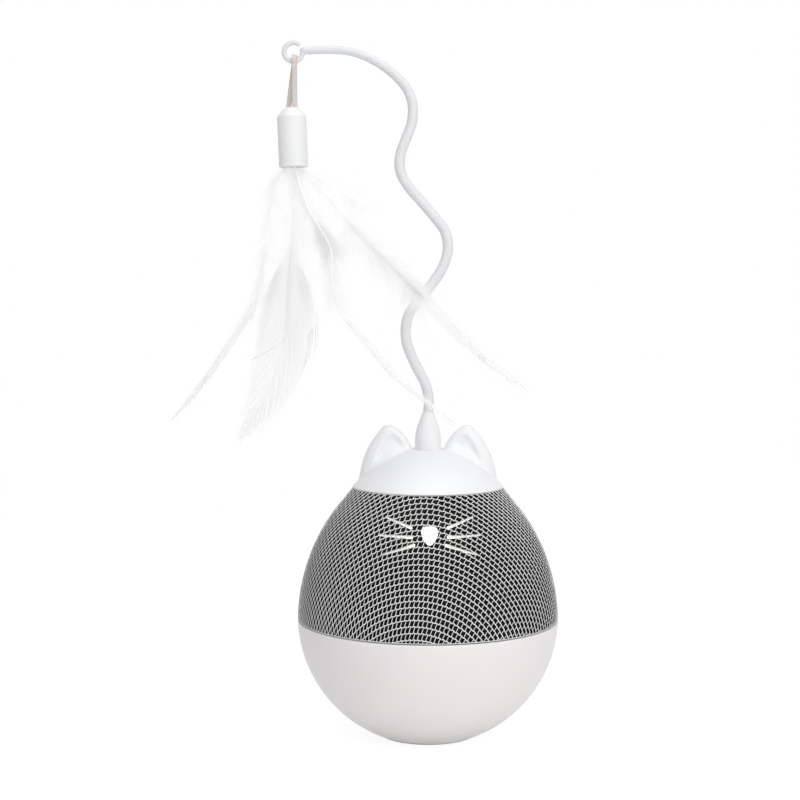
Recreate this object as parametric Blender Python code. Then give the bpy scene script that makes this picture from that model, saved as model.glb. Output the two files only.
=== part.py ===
"""Rotating feather cat toy: a battery base that turns a wavy wand with a feather lure.

Metres, +Z up. The origin is on the wand's spin axis, in the plane of the foot. The face looks along -Y.
"""
import math

import bmesh
import bpy
from mathutils import Matrix, Vector

for old_object in list(bpy.data.objects):
    bpy.data.objects.remove(old_object, do_unlink=True)

# Body outline: a bowl below its widest level and a taller dome above it
BODY_RADIUS = 0.0550
WIDEST_Z = 0.0500
DOME_HEIGHT = 0.0665
DOME_POWER = 1.85
SEAM_Z = 0.0489
CAP_EDGE_Z = 0.1036
CAP_RISE = 0.0168
BODY_SIDES = 36

# Clearances and the overrun of every cut
SEAT_GAP = 0.0003
RUN_GAP = 0.0003
OVERRUN = 0.0010

# Base shell, foot and door
BASE_BOTTOM_Z = 0.0006
BASE_WALL = 0.0022
FLOOR_THICKNESS = 0.0026
FLAT_RIM = 0.0006
DOOR_STEP = 0.0010
DOOR_GAP = 0.0004
DOOR_RIM = 0.0010
FOOT_WIDTH = 0.0019
FOOT_HEIGHT = 0.0015
PAD_RADIUS = 0.0080
PAD_HEIGHT = 0.0013
DOOR_SCREW_INSET = 0.0036
SCREW_SHANK_RADIUS = 0.0013
SCREW_HEAD_RADIUS = 0.0026
SCREW_HEAD_HEIGHT = 0.0010
DOOR_SCREW_LENGTH = 0.0100

# Batteries and their holder
CELL_RADIUS = 0.00725
CELL_LENGTH = 0.0505
CELL_BUTTON_RADIUS = 0.00275
CELL_BUTTON_HEIGHT = 0.0013
CELL_COUNT = 3
BAY_WALL = 0.0008
HOLDER_WALL = 0.0017
HOLDER_FLANGE_WIDTH = 0.0056
HOLDER_FOOT_WIDTH = 0.0031
HOLDER_FLANGE_HEIGHT = 0.0020
CONTACT_RADIUS = 0.0040
CONTACT_THICKNESS = 0.0003
SPRING_WIRE_RADIUS = 0.00025
SPRING_FOOT_RADIUS = 0.0034
SPRING_TOP_RADIUS = 0.0020
SPRING_HEIGHT = 0.0022
SPRING_TURNS = 2
BALLAST_CLEARANCE = 0.0040
BALLAST_WIDTH = 0.0065
BALLAST_HEIGHT = 0.0057

# Net sleeve, inner shell and cap
NET_THICKNESS = 0.0005
INNER_WALL = 0.0018
SKIRT_DEPTH = 0.0050
HEM_WIDTH = 0.0026
CAP_OVERHANG = 0.00035
CAP_WALL = 0.0018
CAP_EDGE_HEIGHT = 0.0004
CAP_SKIRT_DEPTH = 0.0041
CAP_HOLE_RADIUS = 0.0027

# Ears: one is lofted and the other is its mirror image
EAR_LIFT = 0.0009
EAR_HEIGHT = 0.0263
EAR_INSET = 0.0029
EAR_DEPTH = 0.0150
EAR_SIDES = 12
EAR_HOLLOW_DEPTH = 0.0026
# level up the ear, its inner edge, its outer edge and its depth
EAR_SECTION_SHARES = (
    (0.00, 0.16, 1.01, 1.00),
    (0.20, 0.17, 0.985, 0.92),
    (0.40, 0.19, 0.945, 0.82),
    (0.60, 0.215, 0.88, 0.70),
    (0.76, 0.285, 0.80, 0.58),
    (0.88, 0.37, 0.72, 0.46),
    (0.96, 0.455, 0.66, 0.34),
    (1.00, 0.52, 0.62, 0.20),
)
# level up the ear, inner and outer edge, depth of the ear there and depth of the hollow
EAR_HOLLOW_SHARES = (
    (0.57, 0.42, 0.74, 0.72, 0.35),
    (0.63, 0.36, 0.79, 0.68, 0.80),
    (0.72, 0.36, 0.76, 0.61, 1.0),
    (0.82, 0.43, 0.70, 0.52, 0.85),
    (0.90, 0.51, 0.63, 0.43, 0.5),
)

# Gear train: motor pinion, first gear, second gear and output gear
MODULE = 0.0006
PINION_TEETH = 8
WHEEL_TEETH = 28
OUTPUT_TEETH = 36
TOOTH_ROOT_SHARE = 0.27
TOOTH_TIP_SHARE = 0.10
ADDENDUM_SHARE = 0.75
DEDENDUM_SHARE = 1.20
GEAR_FACE = 0.0024
LAYER_GAP = 0.0006
AXLE_RADIUS = 0.0008
SHAFT_RADIUS = 0.0020
TRAIN_TURN = math.radians(51)

# Gearbox and motor
PLATE_THICKNESS = 0.0020
POST_RADIUS = 0.0025
POST_INSET = 0.0082
POST_ANGLES = (math.radians(60), math.radians(240), math.radians(330))
LEG_RADIUS = 0.0024
COVER_RIM = 0.0006
LEG_INSET = 0.0032
LEG_ANGLES = (math.radians(10), math.radians(170), math.radians(270))
GEAR_SCREW_RADIUS = 0.0010
GEAR_SCREW_HEAD_RADIUS = 0.0019
GEAR_SCREW_HEAD_HEIGHT = 0.0014
MOTOR_RADIUS = 0.0100
MOTOR_HEIGHT = 0.0200
MOTOR_WALL = 0.0008
MOTOR_BOSS_RADIUS = 0.0030
MOTOR_BOSS_HEIGHT = 0.0011
MOTOR_END_HEIGHT = 0.0024
BUSH_RADIUS = 0.0040
BUSH_FLANGE_RADIUS = 0.0055
BUSH_FLANGE_HEIGHT = 0.0012
BUSH_HEIGHT = 0.0054
CLIP_HEIGHT = 0.0008

# Lit face: a light guide whose nose and whiskers pass through the inner shell
FACE_Z = 0.0899
NOSE_HALF_WIDTH = 0.0036
NOSE_HALF_HEIGHT = 0.0034
WHISKER_HALF_WIDTH = 0.0006
WHISKER_SPAN = 0.0202
# root and tip of each whisker, across and up from the nose, as shares of the span
WHISKER_SHARES = (
    ((0.312, 0.124), (0.847, 0.312)),
    ((0.319, -0.030), (1.000, -0.015)),
    ((0.262, -0.158), (0.911, -0.361)),
)
# outline of the nose as shares of its half width and half height
NOSE_SHARES = (
    (0.00, 1.00), (0.60, 0.97), (0.93, 0.78), (1.00, 0.42), (0.82, -0.05), (0.52, -0.52), (0.26, -0.88),
    (0.00, -1.00), (-0.26, -0.88), (-0.52, -0.52), (-0.82, -0.05), (-1.00, 0.42), (-0.93, 0.78),
    (-0.60, 0.97),
)
WHISKER_STEPS = 4
GUIDE_INSET = 0.0001
WEB_THICKNESS = 0.0012
WEB_GAP = 0.0004
WEB_HALF_WIDTH = 0.0190
WEB_HALF_HEIGHT = 0.0060
WEB_COLUMNS = 6
WEB_ROWS = 2
LED_RADIUS = 0.0025
LED_COLLAR_RADIUS = 0.0029
LED_COLLAR_HEIGHT = 0.0010
LED_HEIGHT = 0.0070
LED_SET_BACK = 0.0009
BOARD_HALF_WIDTH = 0.0130
BOARD_THICKNESS = 0.0016
BOARD_DROP = 0.0119
BOARD_RISE = 0.0076
CHIP_SIZE = (0.0060, 0.0016, 0.0060)
CHIP_X = 0.0080
CHIP_DROP = 0.0029

# Power switch in a flat pocket at the back of the base
SWITCH_Z = 0.0360
POCKET_RECESS = 0.0031
POCKET_HALF_WIDTH = 0.0070
POCKET_HALF_HEIGHT = 0.0045
POCKET_WALL = 0.0022
POCKET_RIM = 0.0028
KNOB_STEM_HALF = 0.0012
KNOB_CAP_HALF_WIDTH = 0.0023
KNOB_CAP_HALF_HEIGHT = 0.0015
KNOB_CAP_THICKNESS = 0.0016
KNOB_TRAVEL = 0.0040
SWITCH_HALF_WIDTH = 0.0065
SWITCH_HALF_HEIGHT = 0.0030
SWITCH_DEPTH = 0.0048

# Wand: a boot on the shaft and a rod that ends in an open ring
BOOT_RADIUS = 0.0054
BOOT_HEIGHT = 0.0150
# outline of the boot, as shares of its radius and height
BOOT_SHARES = ((1.00, 0.00), (0.985, 0.44), (0.81, 0.66), (0.60, 0.86), (0.535, 1.00))
BOOT_SOCKET_DEPTH = 0.0085
ROD_SOCKET_DEPTH = 0.0040
ROD_RADIUS = 0.0021
ROD_END_RADIUS = 0.0016
RING_TAPER_SHARE = 0.04
WAND_HEIGHT = 0.1550
WAND_REACH = 0.0560
# centreline of the rod, across as a share of the reach and up as a share of the height
WAND_ROUTE_SHARES = (
    (0.000, 0.000), (0.003, 0.030), (0.006, 0.062), (-0.020, 0.104), (-0.085, 0.150), (-0.151, 0.205),
    (-0.168, 0.248), (-0.143, 0.292), (-0.061, 0.335), (0.038, 0.379), (0.113, 0.422), (0.148, 0.470),
    (0.127, 0.515), (0.062, 0.548), (-0.035, 0.590), (-0.130, 0.628), (-0.192, 0.663), (-0.214, 0.697),
    (-0.196, 0.735), (-0.154, 0.773), (-0.120, 0.811), (-0.116, 0.853), (-0.150, 0.891), (-0.225, 0.925),
    (-0.330, 0.956), (-0.450, 0.980), (-0.586, 0.996), (-0.736, 1.000), (-0.832, 0.999),
)
RING_RADIUS = 0.00395
RING_WIRE_RADIUS = 0.00095
RING_DROP = 0.0009
RING_START = math.radians(-38)
RING_END = math.radians(-298)
RING_STEPS = 15
ROD_STEPS = 52

# Cord loop over the ring's lowest wire
LOOP_DROP = 0.01865
CORD_RADIUS = 0.0008
CORD_SPREAD_FRONT = 0.0013
CORD_SPREAD_BACK = -0.0017
CORD_DEPTH = 0.0012
CORD_ARC_STEPS = 8
CORD_LEG_STEPS = 3

# Lure: a ferrule and the feathers under it
FERRULE_LENGTH = 0.0250
FERRULE_RADIUS = 0.0061
FERRULE_NECK_RADIUS = 0.0035
FERRULE_SHOULDER_DROP = 0.0036
FERRULE_TILT = math.radians(2.3)
FERRULE_SHIFT = 0.0009
BLADE_THICKNESS = 0.0008
LURE_DROP = 0.1155
# each feather: depth at the ferrule, forward lean, largest half width, then its spine and half widths.
# Spine points are shares of the drop, across and down; lean is depth gained per length of spine.
FEATHERS = {
    "long_left_feather": {
        "depth": 0.0030, "lean_share": 0.10, "half_width": 0.0045,
        "spine_shares": ((-0.026, -0.003), (-0.069, -0.052), (-0.084, -0.116), (-0.113, -0.294),
                         (-0.148, -0.476), (-0.193, -0.560), (-0.310, -0.731), (-0.393, -0.840),
                         (-0.470, -0.924)),
        "width_shares": (0.15, 0.45, 0.70, 1.00, 0.90, 0.78, 0.52, 0.33, 0.08)},
    "upper_down_plume": {
        "depth": 0.0019, "lean_share": 0.10, "half_width": 0.0050,
        "spine_shares": ((0.020, -0.003), (0.080, -0.038), (0.160, -0.080), (0.205, -0.108),
                         (0.245, -0.142)),
        "width_shares": (0.14, 0.70, 1.00, 0.85, 0.15)},
    "broad_feather": {
        "depth": 0.0008, "lean_share": 0.08, "half_width": 0.0125,
        "spine_shares": ((-0.008, -0.003), (-0.004, -0.116), (-0.011, -0.242), (-0.023, -0.390),
                         (-0.034, -0.534), (-0.062, -0.691), (-0.113, -0.836), (-0.168, -0.926),
                         (-0.216, -1.000)),
        "width_shares": (0.06, 0.24, 0.48, 0.82, 1.00, 0.94, 0.64, 0.32, 0.04)},
    "long_right_feather": {
        "depth": -0.0003, "lean_share": -0.25, "half_width": 0.0085,
        "spine_shares": ((0.006, -0.003), (0.083, -0.073), (0.163, -0.160), (0.239, -0.251),
                         (0.377, -0.385), (0.468, -0.476), (0.603, -0.615), (0.694, -0.702),
                         (0.825, -0.793)),
        "width_shares": (0.09, 0.35, 0.60, 0.85, 1.00, 0.72, 0.42, 0.24, 0.05)},
    "trailing_feather": {
        "depth": -0.0014, "lean_share": -0.225, "half_width": 0.0065,
        "spine_shares": ((0.004, -0.003), (0.050, -0.142), (0.098, -0.225), (0.138, -0.306),
                         (0.141, -0.422), (0.184, -0.549), (0.250, -0.629), (0.348, -0.757),
                         (0.468, -0.848), (0.574, -0.931)),
        "width_shares": (0.12, 0.54, 0.84, 1.00, 0.92, 0.54, 0.38, 0.30, 0.22, 0.06)},
    "left_down_plume": {
        "depth": -0.0026, "lean_share": -0.10, "half_width": 0.0052,
        "spine_shares": ((-0.018, -0.003), (-0.055, -0.080), (-0.077, -0.171), (-0.092, -0.240),
                         (-0.099, -0.298)),
        "width_shares": (0.14, 0.75, 1.00, 0.75, 0.15)},
}

# Routes of the leads inside the body, chosen by hand
LEAD_RADIUS = 0.0006
LEAD_ROUTES = {
    "battery_lead_red": ((0.0195, 0.0125, 0.0606), (0.0225, 0.0190, 0.0625), (0.0240, 0.0290, 0.0590),
                         (0.0210, 0.0370, 0.0530), (0.0140, 0.0405, 0.0450), (0.0040, 0.0440, 0.0398)),
    "switch_lead_red": ((-0.0040, 0.0440, 0.0398), (-0.0140, 0.0405, 0.0450), (-0.0250, 0.0340, 0.0560),
                        (-0.0335, 0.0180, 0.0680), (-0.0350, -0.0030, 0.0780), (-0.0300, -0.0190, 0.0840),
                        (-0.0180, -0.0270, 0.0870), (-0.0110, -0.0281, 0.0878)),
    "battery_lead_black": ((0.0195, -0.0060, 0.0606), (0.0235, -0.0085, 0.0625), (0.0300, -0.0110, 0.0690),
                           (0.0325, -0.0150, 0.0780), (0.0270, -0.0220, 0.0850), (0.0170, -0.0268, 0.0900),
                           (0.0118, -0.0281, 0.0905)),
    "motor_lead_red": ((-0.0178, 0.0095, 0.0609), (-0.0215, 0.0085, 0.0625), (-0.0290, 0.0020, 0.0680),
                       (-0.0320, -0.0080, 0.0760), (-0.0270, -0.0190, 0.0810), (-0.0165, -0.0270, 0.0835),
                       (-0.0100, -0.0281, 0.0840)),
    "motor_lead_black": ((-0.0165, 0.0045, 0.0609), (-0.0200, 0.0020, 0.0620), (-0.0260, -0.0060, 0.0670),
                         (-0.0270, -0.0150, 0.0730), (-0.0215, -0.0245, 0.0765), (-0.0150, -0.0278, 0.0785),
                         (-0.0100, -0.0281, 0.0800)),
}
LEAD_STEPS = 11

# Smoothness of round pieces
TURN_SIDES = 24
SMALL_SIDES = 12
SMOOTH_ANGLE = math.radians(35)

# Heights that follow from the sizes above
FLOOR_TOP_Z = BASE_BOTTOM_Z + FLOOR_THICKNESS
HOLDER_FOOT_Z = FLOOR_TOP_Z + SEAT_GAP
SPRING_FOOT_Z = FLOOR_TOP_Z + SEAT_GAP
CELL_FOOT_Z = SPRING_FOOT_Z + SPRING_HEIGHT + SEAT_GAP
CELL_TOP_Z = CELL_FOOT_Z + CELL_LENGTH
BAY_TOP_Z = CELL_TOP_Z + CONTACT_THICKNESS + 2 * SEAT_GAP
HOLDER_TOP_Z = BAY_TOP_Z + HOLDER_FLANGE_HEIGHT
MOTOR_FOOT_Z = HOLDER_TOP_Z + SEAT_GAP
FRAME_PLATE_Z = MOTOR_FOOT_Z + MOTOR_HEIGHT + SEAT_GAP
FRAME_TOP_Z = FRAME_PLATE_Z + PLATE_THICKNESS
LAYER_STEP = GEAR_FACE + LAYER_GAP
FIRST_LAYER_Z = FRAME_TOP_Z + LAYER_GAP
SECOND_LAYER_Z = FIRST_LAYER_Z + LAYER_STEP
THIRD_LAYER_Z = SECOND_LAYER_Z + LAYER_STEP
COVER_Z = THIRD_LAYER_Z + GEAR_FACE + 2 * LAYER_GAP
COVER_TOP_Z = COVER_Z + PLATE_THICKNESS
CAP_TOP_Z = CAP_EDGE_Z + CAP_EDGE_HEIGHT + CAP_RISE
BOOT_FOOT_Z = CAP_TOP_Z + SEAT_GAP
BOOT_TOP_Z = BOOT_FOOT_Z + BOOT_HEIGHT
ROD_FOOT_Z = BOOT_TOP_Z - ROD_SOCKET_DEPTH
SHELL_GAP = NET_THICKNESS + SEAT_GAP

# Radii that follow, from the cells outwards to the flat foot and the bowl
CELL_CIRCLE_RADIUS = (2 * CELL_RADIUS + 2 * SEAT_GAP + BAY_WALL) / (2 * math.sin(math.pi / CELL_COUNT))
HOLDER_RADIUS = CELL_CIRCLE_RADIUS + CELL_RADIUS + SEAT_GAP + HOLDER_WALL
HOLDER_FLANGE_RADIUS = HOLDER_RADIUS + HOLDER_FLANGE_WIDTH
HOLDER_FOOT_RADIUS = HOLDER_RADIUS + HOLDER_FOOT_WIDTH
DOOR_RADIUS = HOLDER_RADIUS - DOOR_STEP
DOOR_HOLE_RADIUS = DOOR_RADIUS + DOOR_GAP
FOOT_INNER_RADIUS = DOOR_HOLE_RADIUS + DOOR_RIM
GROOVE_INNER_RADIUS = FOOT_INNER_RADIUS - SEAT_GAP
GROOVE_OUTER_RADIUS = FOOT_INNER_RADIUS + FOOT_WIDTH + SEAT_GAP
GROOVE_TOP_Z = FOOT_HEIGHT + SEAT_GAP
FLAT_RADIUS = GROOVE_OUTER_RADIUS + FLAT_RIM
BOWL_DEPTH = (WIDEST_Z - BASE_BOTTOM_Z) / math.sqrt(1 - (FLAT_RADIUS / BODY_RADIUS) ** 2)
BALLAST_INNER_RADIUS = HOLDER_FOOT_RADIUS + BALLAST_CLEARANCE
BALLAST_OUTER_RADIUS = BALLAST_INNER_RADIUS + BALLAST_WIDTH

# Gear centres
PINION_PITCH = MODULE * PINION_TEETH / 2
WHEEL_PITCH = MODULE * WHEEL_TEETH / 2
OUTPUT_PITCH = MODULE * OUTPUT_TEETH / 2
QUARTER_TURN = math.pi / 2
TRAIN_DIRECTIONS = (TRAIN_TURN, TRAIN_TURN + QUARTER_TURN, TRAIN_TURN + 2 * QUARTER_TURN)
SECOND_AT = Vector((math.cos(TRAIN_DIRECTIONS[0]), math.sin(TRAIN_DIRECTIONS[0]), 0))
SECOND_AT *= OUTPUT_PITCH + PINION_PITCH
FIRST_AT = Vector((math.cos(TRAIN_DIRECTIONS[1]), math.sin(TRAIN_DIRECTIONS[1]), 0))
FIRST_AT = SECOND_AT + FIRST_AT * (WHEEL_PITCH + PINION_PITCH)
MOTOR_AT = Vector((math.cos(TRAIN_DIRECTIONS[2]), math.sin(TRAIN_DIRECTIONS[2]), 0))
MOTOR_AT = FIRST_AT + MOTOR_AT * (WHEEL_PITCH + PINION_PITCH)

# Pivots of the hanging pieces
RING_CENTRE = Vector((-WAND_REACH, 0, ROD_FOOT_Z + WAND_HEIGHT - RING_DROP))
LOOP_PIVOT = RING_CENTRE - Vector((0, 0, RING_RADIUS))
FERRULE_TOP_Z = LOOP_PIVOT.z - LOOP_DROP
LURE_PIVOT = Vector((-WAND_REACH - FERRULE_SHIFT, 0, FERRULE_TOP_Z - FERRULE_NECK_RADIUS))

# Colours of the moulded and bought materials
MATERIALS = {
    "shell_white": ((0.86, 0.84, 0.83), 0.34, 0.0),
    "cap_white": ((0.86, 0.87, 0.89), 0.30, 0.0),
    "wand_white": ((0.83, 0.84, 0.89), 0.36, 0.0),
    "ferrule_white": ((0.85, 0.87, 0.86), 0.34, 0.0),
    "net_thread": ((0.62, 0.60, 0.58), 0.85, 0.0),
    "black_plastic": ((0.02, 0.02, 0.022), 0.45, 0.0),
    "clear_guide": ((0.95, 0.92, 0.86), 0.15, 0.0),
    "grey_rubber": ((0.70, 0.70, 0.70), 0.80, 0.0),
    "steel": ((0.62, 0.62, 0.63), 0.30, 1.0),
    "brass": ((0.72, 0.56, 0.28), 0.35, 1.0),
    "gear_plastic": ((0.90, 0.89, 0.85), 0.45, 0.0),
    "cell_sleeve": ((0.16, 0.17, 0.19), 0.35, 0.0),
    "board_green": ((0.05, 0.22, 0.12), 0.45, 0.0),
    "cord_beige": ((0.62, 0.55, 0.49), 0.85, 0.0),
    "feather_white": ((0.86, 0.86, 0.88), 0.80, 0.0),
    "lead_red": ((0.60, 0.04, 0.03), 0.45, 0.0),
}


def material(name):
    """Return the named Principled material, made on first use."""
    found = bpy.data.materials.get(name)
    if found is None:
        colour, roughness, metallic = MATERIALS[name]
        found = bpy.data.materials.new(name)
        found.use_nodes = True
        shader = found.node_tree.nodes["Principled BSDF"]
        shader.inputs["Base Color"].default_value = (*colour, 1)
        shader.inputs["Roughness"].default_value = roughness
        shader.inputs["Metallic"].default_value = metallic
    return found


def link(name, data, finish, location=(0, 0, 0)):
    """Put a mesh or curve in the scene as one named piece."""
    piece = bpy.data.objects.new(name, data)
    piece.location = location
    piece.data.materials.append(material(finish))
    bpy.context.collection.objects.link(piece)
    return piece


def finish_mesh(name, mesh_maker, finish, location=(0, 0, 0)):
    """Turn a bmesh into a smooth shaded piece with its faces pointing out."""
    loose = [vertex for vertex in mesh_maker.verts if not vertex.link_faces]
    bmesh.ops.delete(mesh_maker, geom=loose, context="VERTS")
    bmesh.ops.recalc_face_normals(mesh_maker, faces=mesh_maker.faces[:])
    mesh = bpy.data.meshes.new(name)
    mesh_maker.to_mesh(mesh)
    mesh_maker.free()
    mesh.shade_smooth()
    mesh.set_sharp_from_angle(angle=SMOOTH_ANGLE)
    return link(name, mesh, finish, location)


def hide_guide(guide):
    """Keep a cutter or a joined shape out of the model itself."""
    guide.hide_render = True
    guide.display_type = "WIRE"
    return guide


def combine(target, guide, operation):
    """Cut the target with a guide shape, or join the guide to it."""
    step = target.modifiers.new(guide.name, "BOOLEAN")
    step.operation = operation
    step.solver = "EXACT"
    step.object = hide_guide(guide)
    return target


def cut(target, *guides):
    for guide in guides:
        combine(target, guide, "DIFFERENCE")
    return target


def fuse(target, *guides):
    for guide in guides:
        combine(target, guide, "UNION")
    return target


def turned(name, outline, finish, sides=TURN_SIDES, location=(0, 0, 0)):
    """Turn a closed outline of (radius, height) points about a vertical axis."""
    maker = bmesh.new()
    rings = []
    for radius, height in outline:
        if radius == 0:
            rings.append([maker.verts.new((0, 0, height))])
            continue
        ring = []
        for side in range(sides):
            angle = 2 * math.pi * side / sides
            ring.append(maker.verts.new((radius * math.cos(angle), radius * math.sin(angle), height)))
        rings.append(ring)
    pole_heights = [height for _, height in outline]
    pairs = zip(rings, rings[1:] + rings[:1], pole_heights, pole_heights[1:] + pole_heights[:1])
    for lower, upper, low_z, high_z in pairs:
        if len(lower) == 1 and len(upper) == 1:
            continue
        if low_z == high_z and 1 in (len(lower), len(upper)):
            maker.faces.new(upper if len(lower) == 1 else lower)
            continue
        for side in range(sides):
            after = (side + 1) % sides
            if len(lower) == 1:
                maker.faces.new((lower[0], upper[side], upper[after]))
            elif len(upper) == 1:
                maker.faces.new((lower[side], lower[after], upper[0]))
            else:
                maker.faces.new((lower[side], lower[after], upper[after], upper[side]))
    return finish_mesh(name, maker, finish, location)


def rod(name, radius, low_z, high_z, finish, sides=SMALL_SIDES, at=(0, 0, 0)):
    """A plain upright cylinder."""
    outline = ((0, low_z), (radius, low_z), (radius, high_z), (0, high_z))
    return turned(name, outline, finish, sides, (at[0], at[1], 0))


def tube(name, inner, outer, low_z, high_z, finish, sides=TURN_SIDES, at=(0, 0, 0)):
    """An upright ring with a square section."""
    outline = ((inner, low_z), (outer, low_z), (outer, high_z), (inner, high_z))
    return turned(name, outline, finish, sides, (at[0], at[1], 0))


def block(name, low, high, finish, location=(0, 0, 0)):
    """A box between two corners."""
    maker = bmesh.new()
    corners = [maker.verts.new((x, y, z)) for x in (low[0], high[0]) for y in (low[1], high[1])
               for z in (low[2], high[2])]
    for face in ((0, 1, 3, 2), (4, 6, 7, 5), (0, 4, 5, 1), (2, 3, 7, 6), (0, 2, 6, 4), (1, 5, 7, 3)):
        maker.faces.new([corners[index] for index in face])
    return finish_mesh(name, maker, finish, location)


def loft(maker, sections):
    """Join closed sections of equal point counts and close both ends."""
    rows = [[maker.verts.new(point) for point in section] for section in sections]
    count = len(rows[0])
    for lower, upper in zip(rows, rows[1:]):
        for index in range(count):
            after = (index + 1) % count
            maker.faces.new((lower[index], lower[after], upper[after], upper[index]))
    maker.faces.new(rows[0])
    maker.faces.new(rows[-1])


def smooth_path(points, steps):
    """Points along a Catmull-Rom curve through the given points, evenly shared out."""
    knots = [Vector(point) for point in points]
    knots = [2 * knots[0] - knots[1]] + knots + [2 * knots[-1] - knots[-2]]
    spans = len(knots) - 3
    path = []
    for step in range(steps + 1):
        place = min(step * spans / steps, spans)
        span = min(int(place), spans - 1)
        t = place - span
        before, start, end, after = knots[span:span + 4]
        path.append(0.5 * (2 * start + (end - before) * t + (2 * before - 5 * start + 4 * end - after) * t ** 2
                           + (3 * start - before - 3 * end + after) * t ** 3))
    return path


def wire(name, path, radii, finish, resolution):
    """A round wire along a path, with a radius for each point."""
    curve = bpy.data.curves.new(name, "CURVE")
    curve.dimensions = "3D"
    curve.bevel_depth = 1
    curve.bevel_resolution = resolution
    curve.use_fill_caps = True
    spline = curve.splines.new("POLY")
    spline.points.add(len(path) - 1)
    for point, place, radius in zip(spline.points, path, radii):
        point.co = (*place, 1)
        point.radius = radius
    return link(name, curve, finish)


def hang_from(pivot_name, pivot, pieces):
    """Parent pieces modelled in place to an empty on their joint."""
    empty = bpy.data.objects.new(pivot_name, None)
    empty.location = pivot
    bpy.context.collection.objects.link(empty)
    for piece in pieces:
        piece.parent = empty
        piece.location = piece.location - Vector(pivot)
    return empty


def dome_radius(z):
    """Outer radius of the upper body at a height."""
    height = max((z - WIDEST_Z) / DOME_HEIGHT, 0)
    return BODY_RADIUS * math.sqrt(1 - height ** DOME_POWER)


def bowl_points(z_from, z_to, inset, count):
    """Outline points of the bowl, shared out by angle so that the curve is even."""
    depth = BOWL_DEPTH - inset
    first = math.asin((WIDEST_Z - z_from) / depth)
    last = math.asin((WIDEST_Z - z_to) / depth)
    points = []
    for step in range(count + 1):
        angle = first + (last - first) * step / count
        points.append(((BODY_RADIUS - inset) * math.cos(angle), WIDEST_Z - depth * math.sin(angle)))
    return points


def dome_points(z_from, z_to, inset, count):
    """Outline points of the upper body, set in level by an inset."""
    points = []
    for step in range(count + 1):
        z = z_from + (z_to - z_from) * step / count
        points.append((dome_radius(z) - inset, z))
    return points


# Base shell with its foot groove, door hole and switch pocket
BOWL_STEPS = 8
base_outline = [(DOOR_HOLE_RADIUS, BASE_BOTTOM_Z), (GROOVE_INNER_RADIUS, BASE_BOTTOM_Z),
                (GROOVE_INNER_RADIUS, GROOVE_TOP_Z), (GROOVE_OUTER_RADIUS, GROOVE_TOP_Z),
                (GROOVE_OUTER_RADIUS, BASE_BOTTOM_Z)]
base_outline += bowl_points(BASE_BOTTOM_Z, SEAM_Z, 0, BOWL_STEPS)
base_outline += bowl_points(SEAM_Z, FLOOR_TOP_Z, BASE_WALL, BOWL_STEPS - 2)
base_outline += [(DOOR_HOLE_RADIUS, FLOOR_TOP_Z)]
base_shell = turned("base_shell", base_outline, "shell_white", BODY_SIDES)

pocket_face_y = BODY_RADIUS * math.sqrt(1 - ((WIDEST_Z - SWITCH_Z) / BOWL_DEPTH) ** 2) - POCKET_RECESS
pocket_back_y = pocket_face_y - POCKET_WALL
pocket_pad = block("pocket_pad",
                   (-POCKET_HALF_WIDTH - POCKET_RIM, pocket_back_y, SWITCH_Z - POCKET_HALF_HEIGHT - POCKET_RIM),
                   (POCKET_HALF_WIDTH + POCKET_RIM, BODY_RADIUS, SWITCH_Z + POCKET_HALF_HEIGHT + POCKET_RIM),
                   "shell_white")
bowl_core = turned("bowl_core", [(0, FLOOR_TOP_Z)] + bowl_points(FLOOR_TOP_Z, SEAM_Z, BASE_WALL / 2, BOWL_STEPS)
                   + [(0, SEAM_Z)], "shell_white", BODY_SIDES)
combine(pocket_pad, bowl_core, "INTERSECT")
pocket_cut = block("pocket_cut",
                   (-POCKET_HALF_WIDTH, pocket_face_y, SWITCH_Z - POCKET_HALF_HEIGHT),
                   (POCKET_HALF_WIDTH, BODY_RADIUS + OVERRUN, SWITCH_Z + POCKET_HALF_HEIGHT), "shell_white")
slot_half = KNOB_STEM_HALF + KNOB_TRAVEL / 2 + RUN_GAP
slot_cut = block("slot_cut",
                 (-slot_half, pocket_back_y - OVERRUN, SWITCH_Z - KNOB_STEM_HALF - RUN_GAP),
                 (slot_half, pocket_face_y + OVERRUN, SWITCH_Z + KNOB_STEM_HALF + RUN_GAP), "shell_white")
fuse(base_shell, pocket_pad)
cut(base_shell, pocket_cut, slot_cut)

# Slide switch: a knob that is drawn at its ON end, and the switch behind it
switch_front_y = pocket_back_y - RUN_GAP
knob = block("switch_knob", (-KNOB_STEM_HALF, switch_front_y, -KNOB_STEM_HALF),
             (KNOB_STEM_HALF, pocket_face_y + RUN_GAP + KNOB_CAP_THICKNESS / 2, KNOB_STEM_HALF),
             "black_plastic", (KNOB_TRAVEL / 2, 0, SWITCH_Z))
knob_cap = block("knob_cap", (-KNOB_CAP_HALF_WIDTH, pocket_face_y + RUN_GAP, -KNOB_CAP_HALF_HEIGHT),
                 (KNOB_CAP_HALF_WIDTH, pocket_face_y + RUN_GAP + KNOB_CAP_THICKNESS, KNOB_CAP_HALF_HEIGHT),
                 "black_plastic", (KNOB_TRAVEL / 2, 0, SWITCH_Z))
fuse(knob, knob_cap)
switch_body = block("switch_body",
                    (-SWITCH_HALF_WIDTH, switch_front_y - RUN_GAP - SWITCH_DEPTH, SWITCH_Z - SWITCH_HALF_HEIGHT),
                    (SWITCH_HALF_WIDTH, switch_front_y - RUN_GAP, SWITCH_Z + SWITCH_HALF_HEIGHT), "steel")

# Foot ring and ballast
foot_ring = tube("foot_ring", FOOT_INNER_RADIUS, FOOT_INNER_RADIUS + FOOT_WIDTH, 0, FOOT_HEIGHT, "grey_rubber",
                 BODY_SIDES)


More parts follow.
